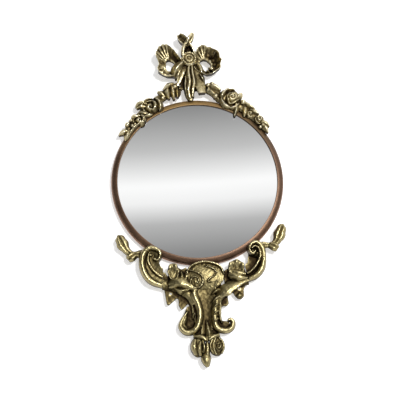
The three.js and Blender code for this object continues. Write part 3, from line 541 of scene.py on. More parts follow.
class Finish:
    """The nodes of one finish or of the studio."""

    def __init__(self, owner):
        owner.use_nodes = True
        self.owner = owner
        self.tree = owner.node_tree
        self.tree.nodes.clear()

    def node(self, kind, settings=None, values=None, output=0):
        made = self.tree.nodes.new(kind)
        for name, value in (settings or {}).items():
            if name == "stops":
                self.set_stops(made.color_ramp, value)
            else:
                setattr(made, name, value)
        pairs = enumerate(values) if isinstance(values, list) else (values or {}).items()
        for name, value in pairs:
            if isinstance(value, Socket):
                self.tree.links.new(value.output, made.inputs[name])
            else:
                made.inputs[name].default_value = value
        return Socket(self, made.outputs[output])

    @staticmethod
    def set_stops(ramp, stops):
        while len(ramp.elements) < len(stops):
            ramp.elements.new(1)
        for element, (place, colour) in zip(ramp.elements, stops):
            element.position = place
            element.color = opaque(colour)

    def place(self):
        return self.node("ShaderNodeTexCoord", output="Object")

    def parts(self, vector):
        """The three numbers of a vector."""
        made = self.node("ShaderNodeSeparateXYZ", None, [vector])
        return [Socket(self, output) for output in made.output.node.outputs]

    def ray(self, kind):
        """1 for light paths of a kind, such as Camera."""
        return self.node("ShaderNodeLightPath", output=f"Is {kind} Ray")

    def noise(self, scale, detail, roughness=0.55, place=None):
        values = {"Vector": place or self.place(), "Scale": scale, "Detail": detail}
        return self.node("ShaderNodeTexNoise", None, {**values, "Roughness": roughness})

    def ramp(self, factor, stops):
        return self.node("ShaderNodeValToRGB", {"stops": stops}, [factor])

    def mixed(self, factor, first, second, blend="MIX"):
        settings = {"data_type": "RGBA", "blend_type": blend, "clamp_factor": True}
        values = {0: factor, 6: opaque(first), 7: opaque(second)}
        return self.node("ShaderNodeMix", settings, values, output=2)

    def bump(self, height, distance, strength):
        values = {"Height": height, "Distance": distance, "Strength": strength}
        return self.node("ShaderNodeBump", None, values)

    def surface(self, **values):
        """Ends a finish in the usual surface: names are its sockets', with _ for a space."""
        sockets = {name.replace("_", " "): opaque(value) for name, value in values.items()}
        shader = self.node("ShaderNodeBsdfPrincipled", None, sockets)
        self.node_out(shader, "ShaderNodeOutputMaterial")
        return self.owner

    def node_out(self, shader, kind):
        made = self.tree.nodes.new(kind)
        self.tree.links.new(shader.output, made.inputs["Surface"])


def new_finish(name):
    return Finish(bpy.data.materials.new(name))


# How far a place stands out, and its colour there: near black in the recesses, patina with painted
# shade over it; olive on the fields; pale on the raised edges, rubbed wear with a painted
# highlight.
# The lower castings are painted duller than the upper ones: less rubbed, with weaker painted
# highlights.
RUBBED_AND_BRIGHTLY_LIT_BRASS = [
    (0.15, (0.016, 0.010, 0.005)),
    (0.33, (0.075, 0.054, 0.024)),
    (0.45, (0.25, 0.203, 0.102)),
    (0.60, (0.62, 0.53, 0.31)),
    (0.82, (0.95, 0.88, 0.66)),
]
# Duller copy of the same brass for the lower castings: less rubbed, with weaker painted highlights.
DULL_AND_DIMLY_LIT_BRASS = [
    (0.10, (0.020, 0.013, 0.006)),
    (0.28, (0.10, 0.076, 0.032)),
    (0.45, (0.26, 0.215, 0.102)),
    (0.66, (0.43, 0.365, 0.19)),
    (0.90, (0.64, 0.56, 0.33)),
]


def antique_brass(name, stops, polish):
    finish = new_finish(name)
    relief = finish.node("ShaderNodeAttribute", {"attribute_name": RELIEF}, output="Fac")
    patches = finish.noise(70, 2)
    tarnish = finish.noise(340, 4)
    # Recesses are painted near black, patina with painted shade over it, and raised edges pale,
    # wear with a painted highlight.
    wear_and_painted_light = (relief + (patches - 0.5) * 0.2 + (tarnish - 0.5) * 0.22).clamped()
    colour = finish.ramp(wear_and_painted_light, stops)
    pores = finish.noise(1500, 3, 0.7)
    return finish.surface(
        Base_Color=colour,
        Metallic=1.0,
        Roughness=(0.58 - wear_and_painted_light * polish + (tarnish - 0.5) * 0.12).clamped(),
        Normal=finish.bump(pores * 0.6 + tarnish * 0.4, 0.00022, 0.5),
    )


COPPER_RADIUS = 123.6  # radius from which the ring's edge shows copper through its wear
INNER_WALL = 0.2  # how far outside the sight radius the ring still counts as its inner wall


def bronzed_ring():
    """Turned ring: warm brown patina with a painted gold highlight at the top and painted shade
    beside the right garland, wearing through to copper at its edge.
    """
    finish = new_finish("bronzed_ring")
    place = finish.place()
    x, _, z = finish.parts(place)
    radius = finish.node("ShaderNodeMath", {"operation": "SQRT"}, [x * x + z * z])
    mottle = finish.noise(38, 4)
    fine = finish.noise(420, 4)
    brown = finish.mixed(mottle, (0.070, 0.038, 0.022), (0.18, 0.103, 0.062))
    # Painted highlight: the top of the ring is painted lighter, in gold, where light falls on it.
    painted_top_highlight = (z * 11 - 0.55 + (mottle - 0.5) * 0.9).clamped()
    brown_with_top_highlight = finish.mixed(painted_top_highlight, brown, (0.33, 0.205, 0.070))
    # Painted shadow: the ring is painted darker beside the right garland, where the garland's
    # shadow falls.
    painted_garland_shadow = ((x + z) * 30 - 4.3 + (mottle - 0.5) * 0.8).clamped()
    garland_shaded = finish.mixed(painted_garland_shadow * 0.8, brown_with_top_highlight, (0.045, 0.034, 0.018))
    edge = ((radius - COPPER_RADIUS * MM) * 900 + (fine - 0.5) * 0.7).clamped()
    rim = finish.mixed(edge * 0.75, garland_shaded, (0.50, 0.27, 0.17))
    inner_wall = ((SIGHT_RADIUS * MM + INNER_WALL * MM - radius) * 6000).clamped()
    coppered = finish.mixed(inner_wall, rim, (0.11, 0.078, 0.052))
    turning = finish.node(
        "ShaderNodeTexWave",
        {"wave_type": "RINGS", "rings_direction": "Y"},
        {"Vector": place, "Scale": 900.0, "Distortion": 1.2, "Detail": 2.0},
        output="Fac",
    )
    return finish.surface(
        Base_Color=coppered,
        Metallic=(0.72 + edge * 0.2).clamped(),
        Roughness=(0.30 + mottle * 0.22 + inner_wall * 0.4).clamped(),
        Normal=finish.bump(turning * 0.3 + fine * 0.7, 0.00012, 0.35),
    )


def silvered_glass():
    """Plate glass with its silvering: a clear, cold mirror with the faintest of ripples."""
    finish = new_finish("silvered_glass")
    haze = finish.noise(9, 2)
    colour = finish.mixed(haze, (0.93, 0.935, 0.93), (0.96, 0.965, 0.965))
    return finish.surface(
        Base_Color=colour,
        Metallic=1.0,
        Roughness=0.015 + haze * 0.02,
        Normal=finish.bump(haze, 0.00002, 0.2),
    )


def zinc_steel():
    finish = new_finish("zinc_steel")
    cloud = finish.noise(160, 4)
    fine = finish.noise(1400, 2)
    colour = finish.mixed(cloud, (0.24, 0.23, 0.21), (0.52, 0.51, 0.48))
    return finish.surface(
        Base_Color=colour,
        Metallic=0.9,
        Roughness=(0.30 + cloud * 0.28).clamped(),
        Normal=finish.bump(fine, 0.0001, 0.3),
    )


BOARD_STAIN = [
    (0.3, (0.055, 0.028, 0.014)),
    (0.5, (0.15, 0.080, 0.040)),
    (0.7, (0.25, 0.145, 0.075)),
]


def stained_board():
    """Thin stained board with its grain running up."""
    finish = new_finish("stained_board")
    stretched = {"Vector": finish.place(), "Scale": (60, 20, 3.2)}
    place = finish.node("ShaderNodeMapping", None, stretched)
    grain_lines = finish.noise(2.4, 8, 0.62, place)
    pores = finish.noise(30, 2, 0.5, place)
    colour = finish.ramp(grain_lines, BOARD_STAIN)
    return finish.surface(
        Base_Color=colour,
        Roughness=(0.55 + grain_lines * 0.25).clamped(),
        Normal=finish.bump(grain_lines * 0.7 + pores * 0.3, 0.0003, 0.5),
    )


def packing_card():
    finish = new_finish("packing_card")
    fibre = finish.noise(500, 5, 0.7)
    colour = finish.mixed(fibre, (0.26, 0.20, 0.13), (0.42, 0.34, 0.24))
    raised = finish.bump(fibre, 0.0002, 0.5)
    return finish.surface(Base_Color=colour, Roughness=0.92, Normal=raised)


def dark_felt():
    finish = new_finish("dark_felt")
    fibre = finish.noise(1300, 5, 0.75)
    tufts = finish.noise(240, 3)
    colour = finish.mixed(fibre, (0.018, 0.018, 0.017), (0.075, 0.072, 0.066))
    return finish.surface(
        Base_Color=colour,
        Roughness=0.97,
        Normal=finish.bump(fibre * 0.6 + tufts * 0.4, 0.0006, 0.8),
    )


# ------------------------------------------------------------------ camera, room and lamps

# The camera that the photo was fitted to: degrees, metres and pixels.
VIEW = {
    "azimuth": -2.4454673,
    "elevation": -15.6819917,
    "roll": 3.8600497,
    "distance": 1.1,
    "target": (0.0019071616, 0, -0.0282378297),
    "focal_pixels": 760.1946518,
    "frame_pixels": 400,
}
SENSOR = 36


def camera():
    azimuth, elevation, roll = (
        math.radians(VIEW[name]) for name in ("azimuth", "elevation", "roll")
    )
    flat = math.cos(elevation)
    back = Vector((math.sin(azimuth) * flat, -math.cos(azimuth) * flat, math.sin(elevation)))
    right = (-back).cross(Vector((0, 0, 1))).normalized()
    up = right.cross(-back)
    across = right * math.cos(roll) - up * math.sin(roll)
    upward = right * math.sin(roll) + up * math.cos(roll)
    data = bpy.data.cameras.new("camera")
    data.sensor_width = SENSOR
    data.lens = VIEW["focal_pixels"] * SENSOR / VIEW["frame_pixels"]
    data.clip_start, data.clip_end = 0.05, 50
    eye = bpy.data.objects.new("camera", data)
    turn = Matrix((across, upward, back)).transposed()
    eye.matrix_world = (
        Matrix.Translation(Vector(VIEW["target"]) + back * VIEW["distance"]) @ turn.to_4x4()
    )
    bpy.context.scene.collection.objects.link(eye)
    bpy.context.scene.camera = eye


# The studio that the mirror faces: a bright band low in front, between greys, by the sine of
# the height above the horizon.
STUDIO = [
    (0.0, 0.14), (0.201, 0.26), (0.242, 0.49), (0.269, 0.93), (0.291, 1.03), (0.334, 0.56),
    (0.388, 0.26), (0.43, 0.24), (0.55, 0.75), (0.8, 1.2), (1.0, 1.1),
]
# How bright the studio is from its left, at 0, to its right, at 1.
STUDIO_SIDES = [
    (0.0, 0.08), (0.3, 0.20), (0.45, 1.0), (0.6, 1.0), (0.7, 1.5), (0.85, 1.9), (1.0, 1.4),
]
ROOM_LIGHT = 0.45


def room():
    world = bpy.data.worlds.new("studio")
    bpy.context.scene.world = world
    finish = Finish(world)
    way = finish.node("ShaderNodeTexCoord", output="Generated")
    aside, _, height = finish.parts(way)
    seen = finish.ramp(height, [(place, (v, v, v)) for place, v in STUDIO])
    sides = finish.ramp(aside * 0.5 + 0.5, [(place, (v, v, v)) for place, v in STUDIO_SIDES])
    shown = finish.mixed(1.0, seen, sides, "MULTIPLY")
    lit = finish.mixed(finish.ray("Glossy"), (ROOM_LIGHT,) * 3, shown)
    colour = finish.mixed(finish.ray("Camera"), lit, (1, 1, 1))
    shader = finish.node("ShaderNodeBackground", None, {"Color": colour})
    finish.node_out(shader, "ShaderNodeOutputWorld")


LAMPS = {
    # name: (place, side of its square, watts)
    "key": ((0.5, -1.75, 0.1), 0.3, 28),
    "behind": ((0.7, 1.5, 0.9), 0.8, 20),
    "behind_low": ((-0.8, 1.4, -0.2), 0.8, 8),
}
AIM = Vector((0, 0, -0.01))


def lamps():
    for name, (place, side, watts) in LAMPS.items():
        data = bpy.data.lights.new(name, "AREA")
        data.size = side
        data.energy = watts
        lamp = bpy.data.objects.new(name, data)
        lamp.location = place
        lamp.rotation_euler = (Vector(place) - AIM).to_track_quat("Z", "Y").to_euler()
        bpy.context.scene.collection.objects.link(lamp)


WALL_BEHIND = 5.0  # the wall's distance behind the mirror's back face
WALL_GLOW = 0.42  # how far the wall shows white by itself, to the camera and in the metal
FLOOR_BELOW = 1.5  # in metres, as is the room's half width
ROOM_HALF = 6.0
SQUARE = ((-1, -1), (1, -1), (1, 1), (-1, 1))


def wall_paint():
    """White wall that throws no shadow itself and isn't seen from behind."""
    finish = new_finish("white_wall")
    roller = finish.noise(300, 4)
    colour = finish.mixed(roller, (0.79, 0.79, 0.79), (0.83, 0.83, 0.83))
    matt = finish.node("ShaderNodeBsdfDiffuse", None, {"Color": colour})
    shown = (finish.ray("Camera") + finish.ray("Glossy")).clamped()
    light = {"Color": (1, 1, 1, 1), "Strength": shown * WALL_GLOW}
    glow = finish.node("ShaderNodeEmission", None, light)
    seen = finish.node("ShaderNodeAddShader", None, [matt, glow])
    clear = finish.node("ShaderNodeBsdfTransparent")
    behind = finish.node("ShaderNodeNewGeometry", output="Backfacing")
    factor = (behind + finish.ray("Shadow")).clamped()
    shader = finish.node("ShaderNodeMixShader", None, [factor, seen, clear])
    finish.node_out(shader, "ShaderNodeOutputMaterial")
    return finish.owner


def floor_paint():
    finish = new_finish("pale_floor")
    cloud = finish.noise(6, 3)
    colour = finish.mixed(cloud, (0.72, 0.72, 0.71), (0.78, 0.78, 0.77))
    return finish.surface(Base_Color=colour, Roughness=0.8)


def room_side(name, corners, material):
    """Flat side of the room, which isn't part of the mirror."""
    mesh = bpy.data.meshes.new(name)
    mesh.from_pydata(corners, [], [[0, 1, 2, 3]])
    mesh.materials.append(material)
    side = bpy.data.objects.new(name, mesh)
    bpy.context.scene.collection.objects.link(side)


def stage():
    square = [(ROOM_HALF * a, ROOM_HALF * b) for a, b in SQUARE]
    room_side("wall", [(a, WALL_BEHIND * MM, b) for a, b in square], wall_paint())
    room_side("floor", [(a, b, -FLOOR_BELOW) for a, b in square], floor_paint())


# ------------------------------------------------------------------ ring, glass and back

def ring_face(radius):
    """Forward distance of the ring's swelling face at a radius."""
    share = (RING_RADIUS - radius) / (RING_RADIUS - SIGHT_RADIUS)
    return RING_SIDE + (RING_DEPTH - RING_SIDE) * math.sqrt(max(0.0, 1 - (1 - share) ** 2))


def ring_room():
    """The room that a casting leaves for the ring and the glass where it laps over them."""
    over_glass = LIP + 2 * GAP
    face = []
    for radius in np.linspace(RING_RADIUS, SIGHT_RADIUS, 12):
        share = (radius - SIGHT_RADIUS) / (RING_RADIUS - SIGHT_RADIUS)
        face.append((radius + GAP * share, ring_face(radius) + GAP))
    start = [(AXIS, -GAP), (RING_RADIUS + GAP, -GAP)]
    return turned(start + face + [(SIGHT_RADIUS - GAP, over_glass), (AXIS, over_glass)], 240)


def screw_room(x, z, deep):
    """Countersunk bore in the ring's back."""
    head = HEAD["radius"] + GAP
    shank = HEAD["shank"] + GAP
    profile = [(head, -1), (head, 0.3), (shank, 1.5), (shank, deep), (AXIS, deep)]
    return turned(profile, 24, x, z)


RING_SCREWS = {
    "bow_screw": 90.6, "garland_screw_1": 144, "garland_screw_2": 118.3, "garland_screw_3": 62,
    "garland_screw_4": 37, "scroll_screw_left": 233, "scroll_screw_right": 307,
}
BUTTON = {"long": 18, "wide": 4.8, "thick": 1.2, "angles": (25, 155, 205, 335)}
HANGER = {
    "inner": 120.9, "outer": 124.6, "thick": 1.2, "half_angle": 9.4, "screw_angles": (82.8, 97.2),
    "knuckle": 2.1, "knuckle_wide": 10, "behind": 2.8, "height": 121.6,
}
LOOP = {"wire": 1.0, "half_wide": 7.7, "drop": 12.7, "clear": 0.4}
BUMPER = {"radius": 7, "at": 92, "angles": (235, 305)}
THROUGH = (-9, 9)  # forward distances of a bore right through a plate of the back
# Side of the ring, with a fine bead at its front: distance in from the side, forward.
BEAD = [(0, 0.5), (0, 3.2), (0.08, 3.9), (0.4, 4.3), (0.75, 4.5)]


def frame_ring(material):
    """Turned ring: a straight side, a fine bead, the swelling face and a rolled inner lip."""
    face = []
    for radius in np.linspace(RING_RADIUS - 0.7, SIGHT_RADIUS + 0.35, 26):
        face.append((radius, ring_face(radius)))
    bead = [(RING_RADIUS - inset, forward) for inset, forward in BEAD]
    lip = [(SIGHT_RADIUS + 0.1, RING_DEPTH - 0.15), (SIGHT_RADIUS, RING_DEPTH - 0.5)]
    seat = [(SIGHT_RADIUS, LIP), (SEAT_RADIUS, LIP), (SEAT_RADIUS, 0.2)]
    back = [(SEAT_RADIUS + 0.2, 0), (RING_RADIUS - 0.5, 0)]
    profile = bead + face + lip + seat + back
    ring = solid("turned_ring", turned(profile, 360, closed=True))
    rooms = [screw_room(*polar(FIXING_RADIUS, a), 14) for a in RING_SCREWS.values()]
    for angle in (*BUTTON["angles"], *HANGER["screw_angles"]):
        rooms.append(rod(HEAD["shank"] + GAP, -1, 3.4, *polar(FIXING_RADIUS, angle)))
    worked(ring, rooms)
    finished(ring, material, "ring_bronze", "mirror", "frame_ring", crease=35)


def mirror_glass(material):
    bevel = 1.0
    profile = [
        (AXIS, GLASS_BACK),
        (GLASS_RADIUS, GLASS_BACK),
        (GLASS_RADIUS, GLASS_FRONT - bevel / 2),
        (GLASS_RADIUS - bevel, GLASS_FRONT),
        (AXIS, GLASS_FRONT),
    ]
    glass = solid("silvered_plate", turned(profile, 240))
    finished(glass, material, "silvered_glass", "mirror", "mirror_glass", crease=20)


def back_board(material):
    rim = 0.8
    profile = [
        (AXIS, 0),
        (BOARD_RADIUS - rim, 0),
        (BOARD_RADIUS - 0.25, 0.25),
        (BOARD_RADIUS, rim),
        (BOARD_RADIUS, BOARD_FRONT),
        (AXIS, BOARD_FRONT),
    ]
    board = solid("thin_board", turned(profile, 200))
    finished(board, material, "board_wood", "mirror", "back_board", crease=35)


def slotted_head(node, angle, surface, turn, material):
    """Visible end of a screw in the ring's back: a slotted head on its shank. It is let in
    flush where its surface lies in front of the back face, and domed where not."""
    x, z = polar(FIXING_RADIUS, angle)
    radius, shank = HEAD["radius"], HEAD["shank"]
    let_in = surface > 0
    if let_in:
        eased = HEAD["eased"]
        profile = [(AXIS, surface), (radius - eased, surface), (radius, surface + eased)]
        profile += [(shank, surface + HEAD["cone"]), (shank, surface + 8)]
    else:
        profile = [(HEAD["crown"], surface - HEAD["dome"] - 0.05)]
        for step in range(1, 6):
            across, up = polar(1, 90 - 18 * step)
            profile.append((radius * across, surface - HEAD["dome"] * up))
        profile += [(radius, surface), (shank, surface), (shank, 3)]
    piece = solid(f"head_{node}", turned(profile, 40, x, z))
    across = np.array(polar(1, turn))
    along = np.array([-across[1], across[0]])
    half = HEAD["slot"] / 2
    corners = [np.array([x, z]) + across * a * 3 + along * b * half for a, b in SQUARE]
    floor = surface + (HEAD["cone_slot"] if let_in else -HEAD["dome_slot"])
    worked(piece, [plate(corners, surface - 2, floor)])
    finished(piece, material, "fixing_steel", "mirror", node, crease=30)


def fixings(material):
    for i, (node, angle) in enumerate(RING_SCREWS.items()):
        slotted_head(node, angle, HEAD["let_in"], 37 * i, material)
    land = -(GAP + BUTTON["thick"] + GAP)
    for i, angle in enumerate(BUTTON["angles"], 1):
        slotted_head(f"turn_button_screw_{i}", angle, land, 50 * i, material)
    for i, angle in enumerate(HANGER["screw_angles"], 1):
        slotted_head(f"hanger_screw_{i}", angle, land, 80 * i, material)


def turn_buttons(material):
    """Pressed turn buttons with eased edges, each on its own screw."""
    half = BUTTON["wide"] / 2
    reach = BUTTON["long"] - BUTTON["wide"]
    for i, angle in enumerate(BUTTON["angles"], 1):
        x, z = polar(FIXING_RADIUS, angle)
        inward = np.array(polar(-1, angle))
        aside = np.array([-inward[1], inward[0]])
        levels = [(0.25, -GAP), (0, -GAP - 0.25), (0, -GAP - 0.95), (0.3, -GAP - BUTTON["thick"])]
        rows = []
        for inset, forward in levels:
            row = []
            for end, start in ((reach, -90), (0, 90)):
                for swing in np.linspace(start, start + 180, 13):
                    along, across = polar(half - inset, swing)
                    spot = np.array([x, z]) + inward * (end + along) + aside * across
                    row.append((spot[0], forward, spot[1]))
            rows.append(row)
        piece = solid(f"button_{i}", skin(np.array(rows)))
        worked(piece, [rod(HEAD["shank"] + HEAD["clear"], *THROUGH, x, z)])
        body = f"turn_button_{i}"
        finished(piece, material, "fixing_steel", body, body, crease=30)


def along_x(radius, half_wide):
    """Rod across the mirror, on the line that the hanging loop swings about."""
    turn = full_turn(40)[None, :]
    x = np.array([[-half_wide], [half_wide]])
    forward = -HANGER["behind"] - radius * np.cos(turn)
    return skin(stacked(x, forward, HANGER["height"] + radius * np.sin(turn)))


def hanger(material):
    half = HANGER["half_angle"]
    sweep = np.linspace(90 - half, 90 + half, 25)
    outline = [polar(HANGER["outer"], a) for a in sweep]
    outline += [polar(HANGER["inner"], a) for a in sweep[::-1]]
    strip = solid("hanger_strip", plate(outline, -GAP - HANGER["thick"], -GAP))
    worked(strip, [along_x(HANGER["knuckle"], HANGER["knuckle_wide"] / 2)], "UNION")
    bore = HEAD["shank"] + HEAD["clear"]
    holes = [rod(bore, *THROUGH, *polar(FIXING_RADIUS, a)) for a in HANGER["screw_angles"]]
    worked(strip, [along_x(LOOP["wire"] + LOOP["clear"], HANGER["knuckle_wide"]), *holes])
    finished(strip, material, "fixing_steel", "mirror", "hanger_plate", crease=30)


def hanging_loop(material):
    """Bent wire loop: a straight side in the knuckle and a pear-shaped bow below it."""
    wide, drop = LOOP["half_wide"], LOOP["drop"]
    half = [[0.3 * wide, 0], [0.7 * wide, 0], [0.86 * wide, -0.2], [wide, -2]]
    half += [[wide * 1.04 * math.sqrt(1 - (z / drop) ** 2), z] for z in (-4.5, -7.4, -10)]
    half += [[wide * 0.3, -drop]]
    route = smooth(half + mirrored(half)[::-1], 96, closed=True)
    along = np.roll(route, -1, axis=0) - np.roll(route, 1, axis=0)
    along /= np.hypot(*along.T)[:, None]
    turn = full_turn(20)[None, :]
    out, back = LOOP["wire"] * np.cos(turn), LOOP["wire"] * np.sin(turn)
    rings = stacked(
        route[:, :1] + along[:, 1:] * out,
        -HANGER["behind"] - back,
        HANGER["height"] + route[:, 1:] - along[:, :1] * out,
    )
    loop = solid("wire_loop", skin(rings, closed=True))
    finished(loop, material, "fixing_steel", "hanging_loop", "hanging_loop")


def bumpers(material):
    radius = BUMPER["radius"]
    profile = [(AXIS, -GAP), (radius - 0.3, -GAP), (radius, -0.8), (radius, -3.9)]
    profile += [(radius - 0.25, -4.5), (radius - 0.9, -4.7), (AXIS, -4.7)]
    for i, angle in enumerate(BUMPER["angles"], 1):
        x, z = polar(BUMPER["at"], angle)
        pad = solid(f"bumper_{i}", turned(profile, 60, x, z))
        finished(pad, material, "bumper_felt", "mirror", f"wall_bumper_{i}")


# ------------------------------------------------------------------ bow

KNOT = {"x": -1, "z": 187.2}
KNOT_SEAT = 17  # forward distance of the seat that the rosette is let into
ROSETTE = {"radius": 10.8, "thick": 6, "voxel": 0.35}

# Stations round each loop's hole: degrees, hole radius, outer radius, rise, depth of flutes
# as a share of the rise, depth of the ribbon's scoop.
LEFT_LOOP = [
    (0, 7.5, 19, 11, 0, 3), (30, 7, 19.5, 9, 0, 4), (60, 7, 22, 9, 0, 3), (82, 7.5, 28.5, 10, 0, 2),
    (95, 8, 30.4, 16.5, 0.06, 0), (110, 8.5, 31, 18.5, 0.08, 0), (127, 8, 29.5, 18, 0.08, 0),
    (143, 7, 26, 16, 0.06, 0), (160, 6, 18.5, 10, 0, 0), (180, 6, 17, 12, 0.04, 0),
    (200, 6.5, 20.5, 15, 0.06, 0), (225, 8, 20.5, 13, 0.03, 0), (262, 8.5, 20, 10, 0, 0),
    (300, 8, 19, 10, 0, 0), (330, 7, 19, 11, 0, 0),
]
RIGHT_LOOP = [
    (-18, 8.4, 24, 15, 0, 4), (-5, 7.6, 22.5, 14, 0, 5), (10, 7.6, 25.5, 16, 0, 5.5),
    (22, 7, 24.5, 14.5, 0, 5.5), (36, 7, 27, 16, 0, 5.5), (50, 7, 28, 15, 0, 5.5),
    (60, 7, 26.5, 13.5, 0, 5), (70, 7.6, 28.5, 14, 0, 4), (80, 8, 28, 13, 0.02, 2.5),
    (93, 8.5, 30, 16, 0.06, 0), (106, 9, 28.5, 16.5, 0.08, 0), (120, 9.4, 25, 15, 0.07, 0),
    (138, 9.6, 22, 12, 0.03, 0), (160, 9, 20, 11, 0, 0), (200, 5.5, 17, 9, 0, 0),
    (240, 6, 14.5, 9, 0.02, 0), (270, 9, 17, 11, 0.04, 0), (300, 9.5, 19, 14, 0.04, 0),
    (325, 8.6, 20.5, 14, 0.02, 3),
]
# Raised folds of the ribbon: x, z at each end, half width, rise.
LOOP_FOLDS = [
    (-48, 171, -36, 163, 1.6, 12.5), (-36, 163, -26, 162, 1.6, 12), (34, 202, 44, 196, 1.3, 16),
    (41, 199, 35, 189, 1.1, 13.5), (27, 172, 34, 166, 1.8, 14), (24, 168, 29, 163, 1.6, 13),
]
TOP_LOOP = [
    [[-10, 195, 3, 10], [-8.5, 205, 3.6, 13], [-5.5, 213, 3.2, 13], [-3, 219, 2, 12]],
    [[8, 196, 2.2, 8], [6, 205, 2.4, 10], [2, 213, 2.6, 11], [-1, 219, 2, 10]],
]
TOP_LEFT_LEAF = [
    [0, 210, 3, 12], [-4.5, 215.5, 5.6, 14], [-10, 222.5, 6.4, 15], [-14.5, 230, 3.2, 12],
]
TOP_RIGHT_LEAF = [[-3, 211, 3, 12], [0, 217, 4.8, 15.5], [4, 224, 4.6, 15.5], [7, 231.6, 2.4, 11]]
TOP_WEB = [[-10, 195], [7, 195], [0, 217], [-5, 217]]
RIBBON_END = [[-9, 184, 4, 13], [-16, 178, 6.6, 16.5], [-23, 170, 7, 16.5], [-26.5, 161, 3, 11]]
PETALS = [
    [[-9, 178, 2.5, 10], [-15, 170, 3.4, 13], [-20, 163, 3.6, 13], [-22, 157, 2, 11]],
    [[9, 182, 3, 9], [14, 174, 4.5, 11], [16, 165, 3.4, 10]],
]
LEFT_TAIL = [[-8, 180, 5, 11], [-14, 167, 5.5, 13], [-19, 156, 5.5, 13], [-24, 147, 5, 12]]
RIGHT_TAIL = [
    [8, 180, 5, 8], [11, 165, 7, 9], [14, 152, 8, 10.5], [14.5, 141, 8, 12], [15, 132, 6, 13],
]
MIDDLE_TAIL = [
    [0, 182, 6, 9], [-1, 164, 8, 10], [-3, 145, 8.8, 10], [-3.5, 131, 7.4, 10], [-2.2, 121, 3.2, 9],
]
TAIL_FLUTES = [
    [[-3, 178, 1.6, 10], [-7.5, 160, 1.8, 10], [-9.5, 143, 2, 10.5], [-8, 129, 1.6, 10]],
    [
        [-1, 180, 2.4, 13], [-3.4, 165, 3.4, 15], [-2.4, 150, 3.6, 14.5], [-5, 137, 3.4, 14],
        [-3.6, 124, 2.6, 12],
    ],
    [
        [3, 180, 2, 12], [2.4, 165, 2.8, 14], [4, 150, 3.2, 14], [1.6, 137, 3, 14],
        [0.6, 126, 2.4, 12],
    ],
]
KNOT_LIP = [[-9, 180, 2, 13], [-4, 177, 2.6, 15], [3, 177, 2.6, 15], [8, 181, 2, 13]]
TAIL_WEB = [[-16, 176], [14, 176], [18, 140], [5, 138], [-6, 140], [-18, 143], [-20, 154]]
LAP = {
    "left": {"side": -1, "seam": 20.5, "reach": (14, 27), "heights": (141.5, 152)},
    "right": {"side": 1, "seam": 20.8, "reach": (12, 26), "heights": (137.5, 150)},
}
TONGUE = (BACK["bow"] - GAP - 3, BACK["bow"] - GAP)  # it laps behind the bow's tail
FAR = 60  # distance from the middle beyond the whole bow
BOW_WEB = 3  # thickness of the webs behind the bow's folds
LAP_HEIGHTS = {"bow": (100, 157), "garland": (60, 170)}


def side_block(side, near, far, forwards, heights):
    return block((-far, -near) if side < 0 else (near, far), forwards, heights)


def bow(material):
    base = BACK["bow"]
    skins = [
        ruffle(-30, 180.5, base, LEFT_LOOP, 20),
        ruffle(23, 178, base, RIGHT_LOOP, 19),
        bud(KNOT["x"], KNOT["z"], 13, 12, base),
        plate(TOP_WEB, base, base + BOW_WEB),
        plate(TAIL_WEB, base, base + BOW_WEB),
        band(TOP_LEFT_LEAF, base, cupped, across=19),
        band(TOP_RIGHT_LEAF, base, two_lobed, across=19),
        band(LEFT_TAIL, base, leaning(-0.5), across=17),
        ridge(-12, 175, -21, 152, 1.3, 13, base, -0.05),
        band(RIBBON_END, base, folded, across=21),
        band(RIGHT_TAIL, base, leaning(0.5), across=17),
        ridge(13, 163, 19, 151, 1.8, 12.5, base),
        band(KNOT_LIP, base, across=9),
        band(MIDDLE_TAIL, base, across=17),
        *(band(route, base) for route in TOP_LOOP),
        *(leaf(route, base) for route in PETALS),
        *(band(route, base) for route in TAIL_FLUTES),
        *(ridge(*fold, base) for fold in LOOP_FOLDS),
    ]
    seat = rod(ROSETTE["radius"] + GAP, KNOT_SEAT, IN_FRONT, KNOT["x"], KNOT["z"])
    tools = [ring_room(), seat]
    for lap in LAP.values():
        whole = (0, IN_FRONT), LAP_HEIGHTS["bow"]
        tools.append(side_block(lap["side"], lap["seam"], FAR, *whole))
    casting("bow", skins, tools, material)


def rosette(material):
    """Ringed button with a crinkled rim, let into the knot."""
    radius, thick = ROSETTE["radius"], ROSETTE["thick"]

    def outline(angle):
        return radius * (1 - 0.03 * np.abs(np.sin(angle * 9)))

    def rise(share, angle):
        rings = 0.15 * np.cos(share * 4.5 * math.pi)
        crinkle = 0.16 * np.cos(18 * angle) * np.clip(share - 0.78, 0, 1) * 2
        return thick * (0.78 - 0.22 * share + rings + crinkle)

    disc = mound(KNOT["x"], KNOT["z"], KNOT_SEAT + GAP, outline, rise, sectors=140, rings=60)
    casting("rosette", [disc], [], material, voxel=ROSETTE["voxel"])


# ------------------------------------------------------------------ garlands

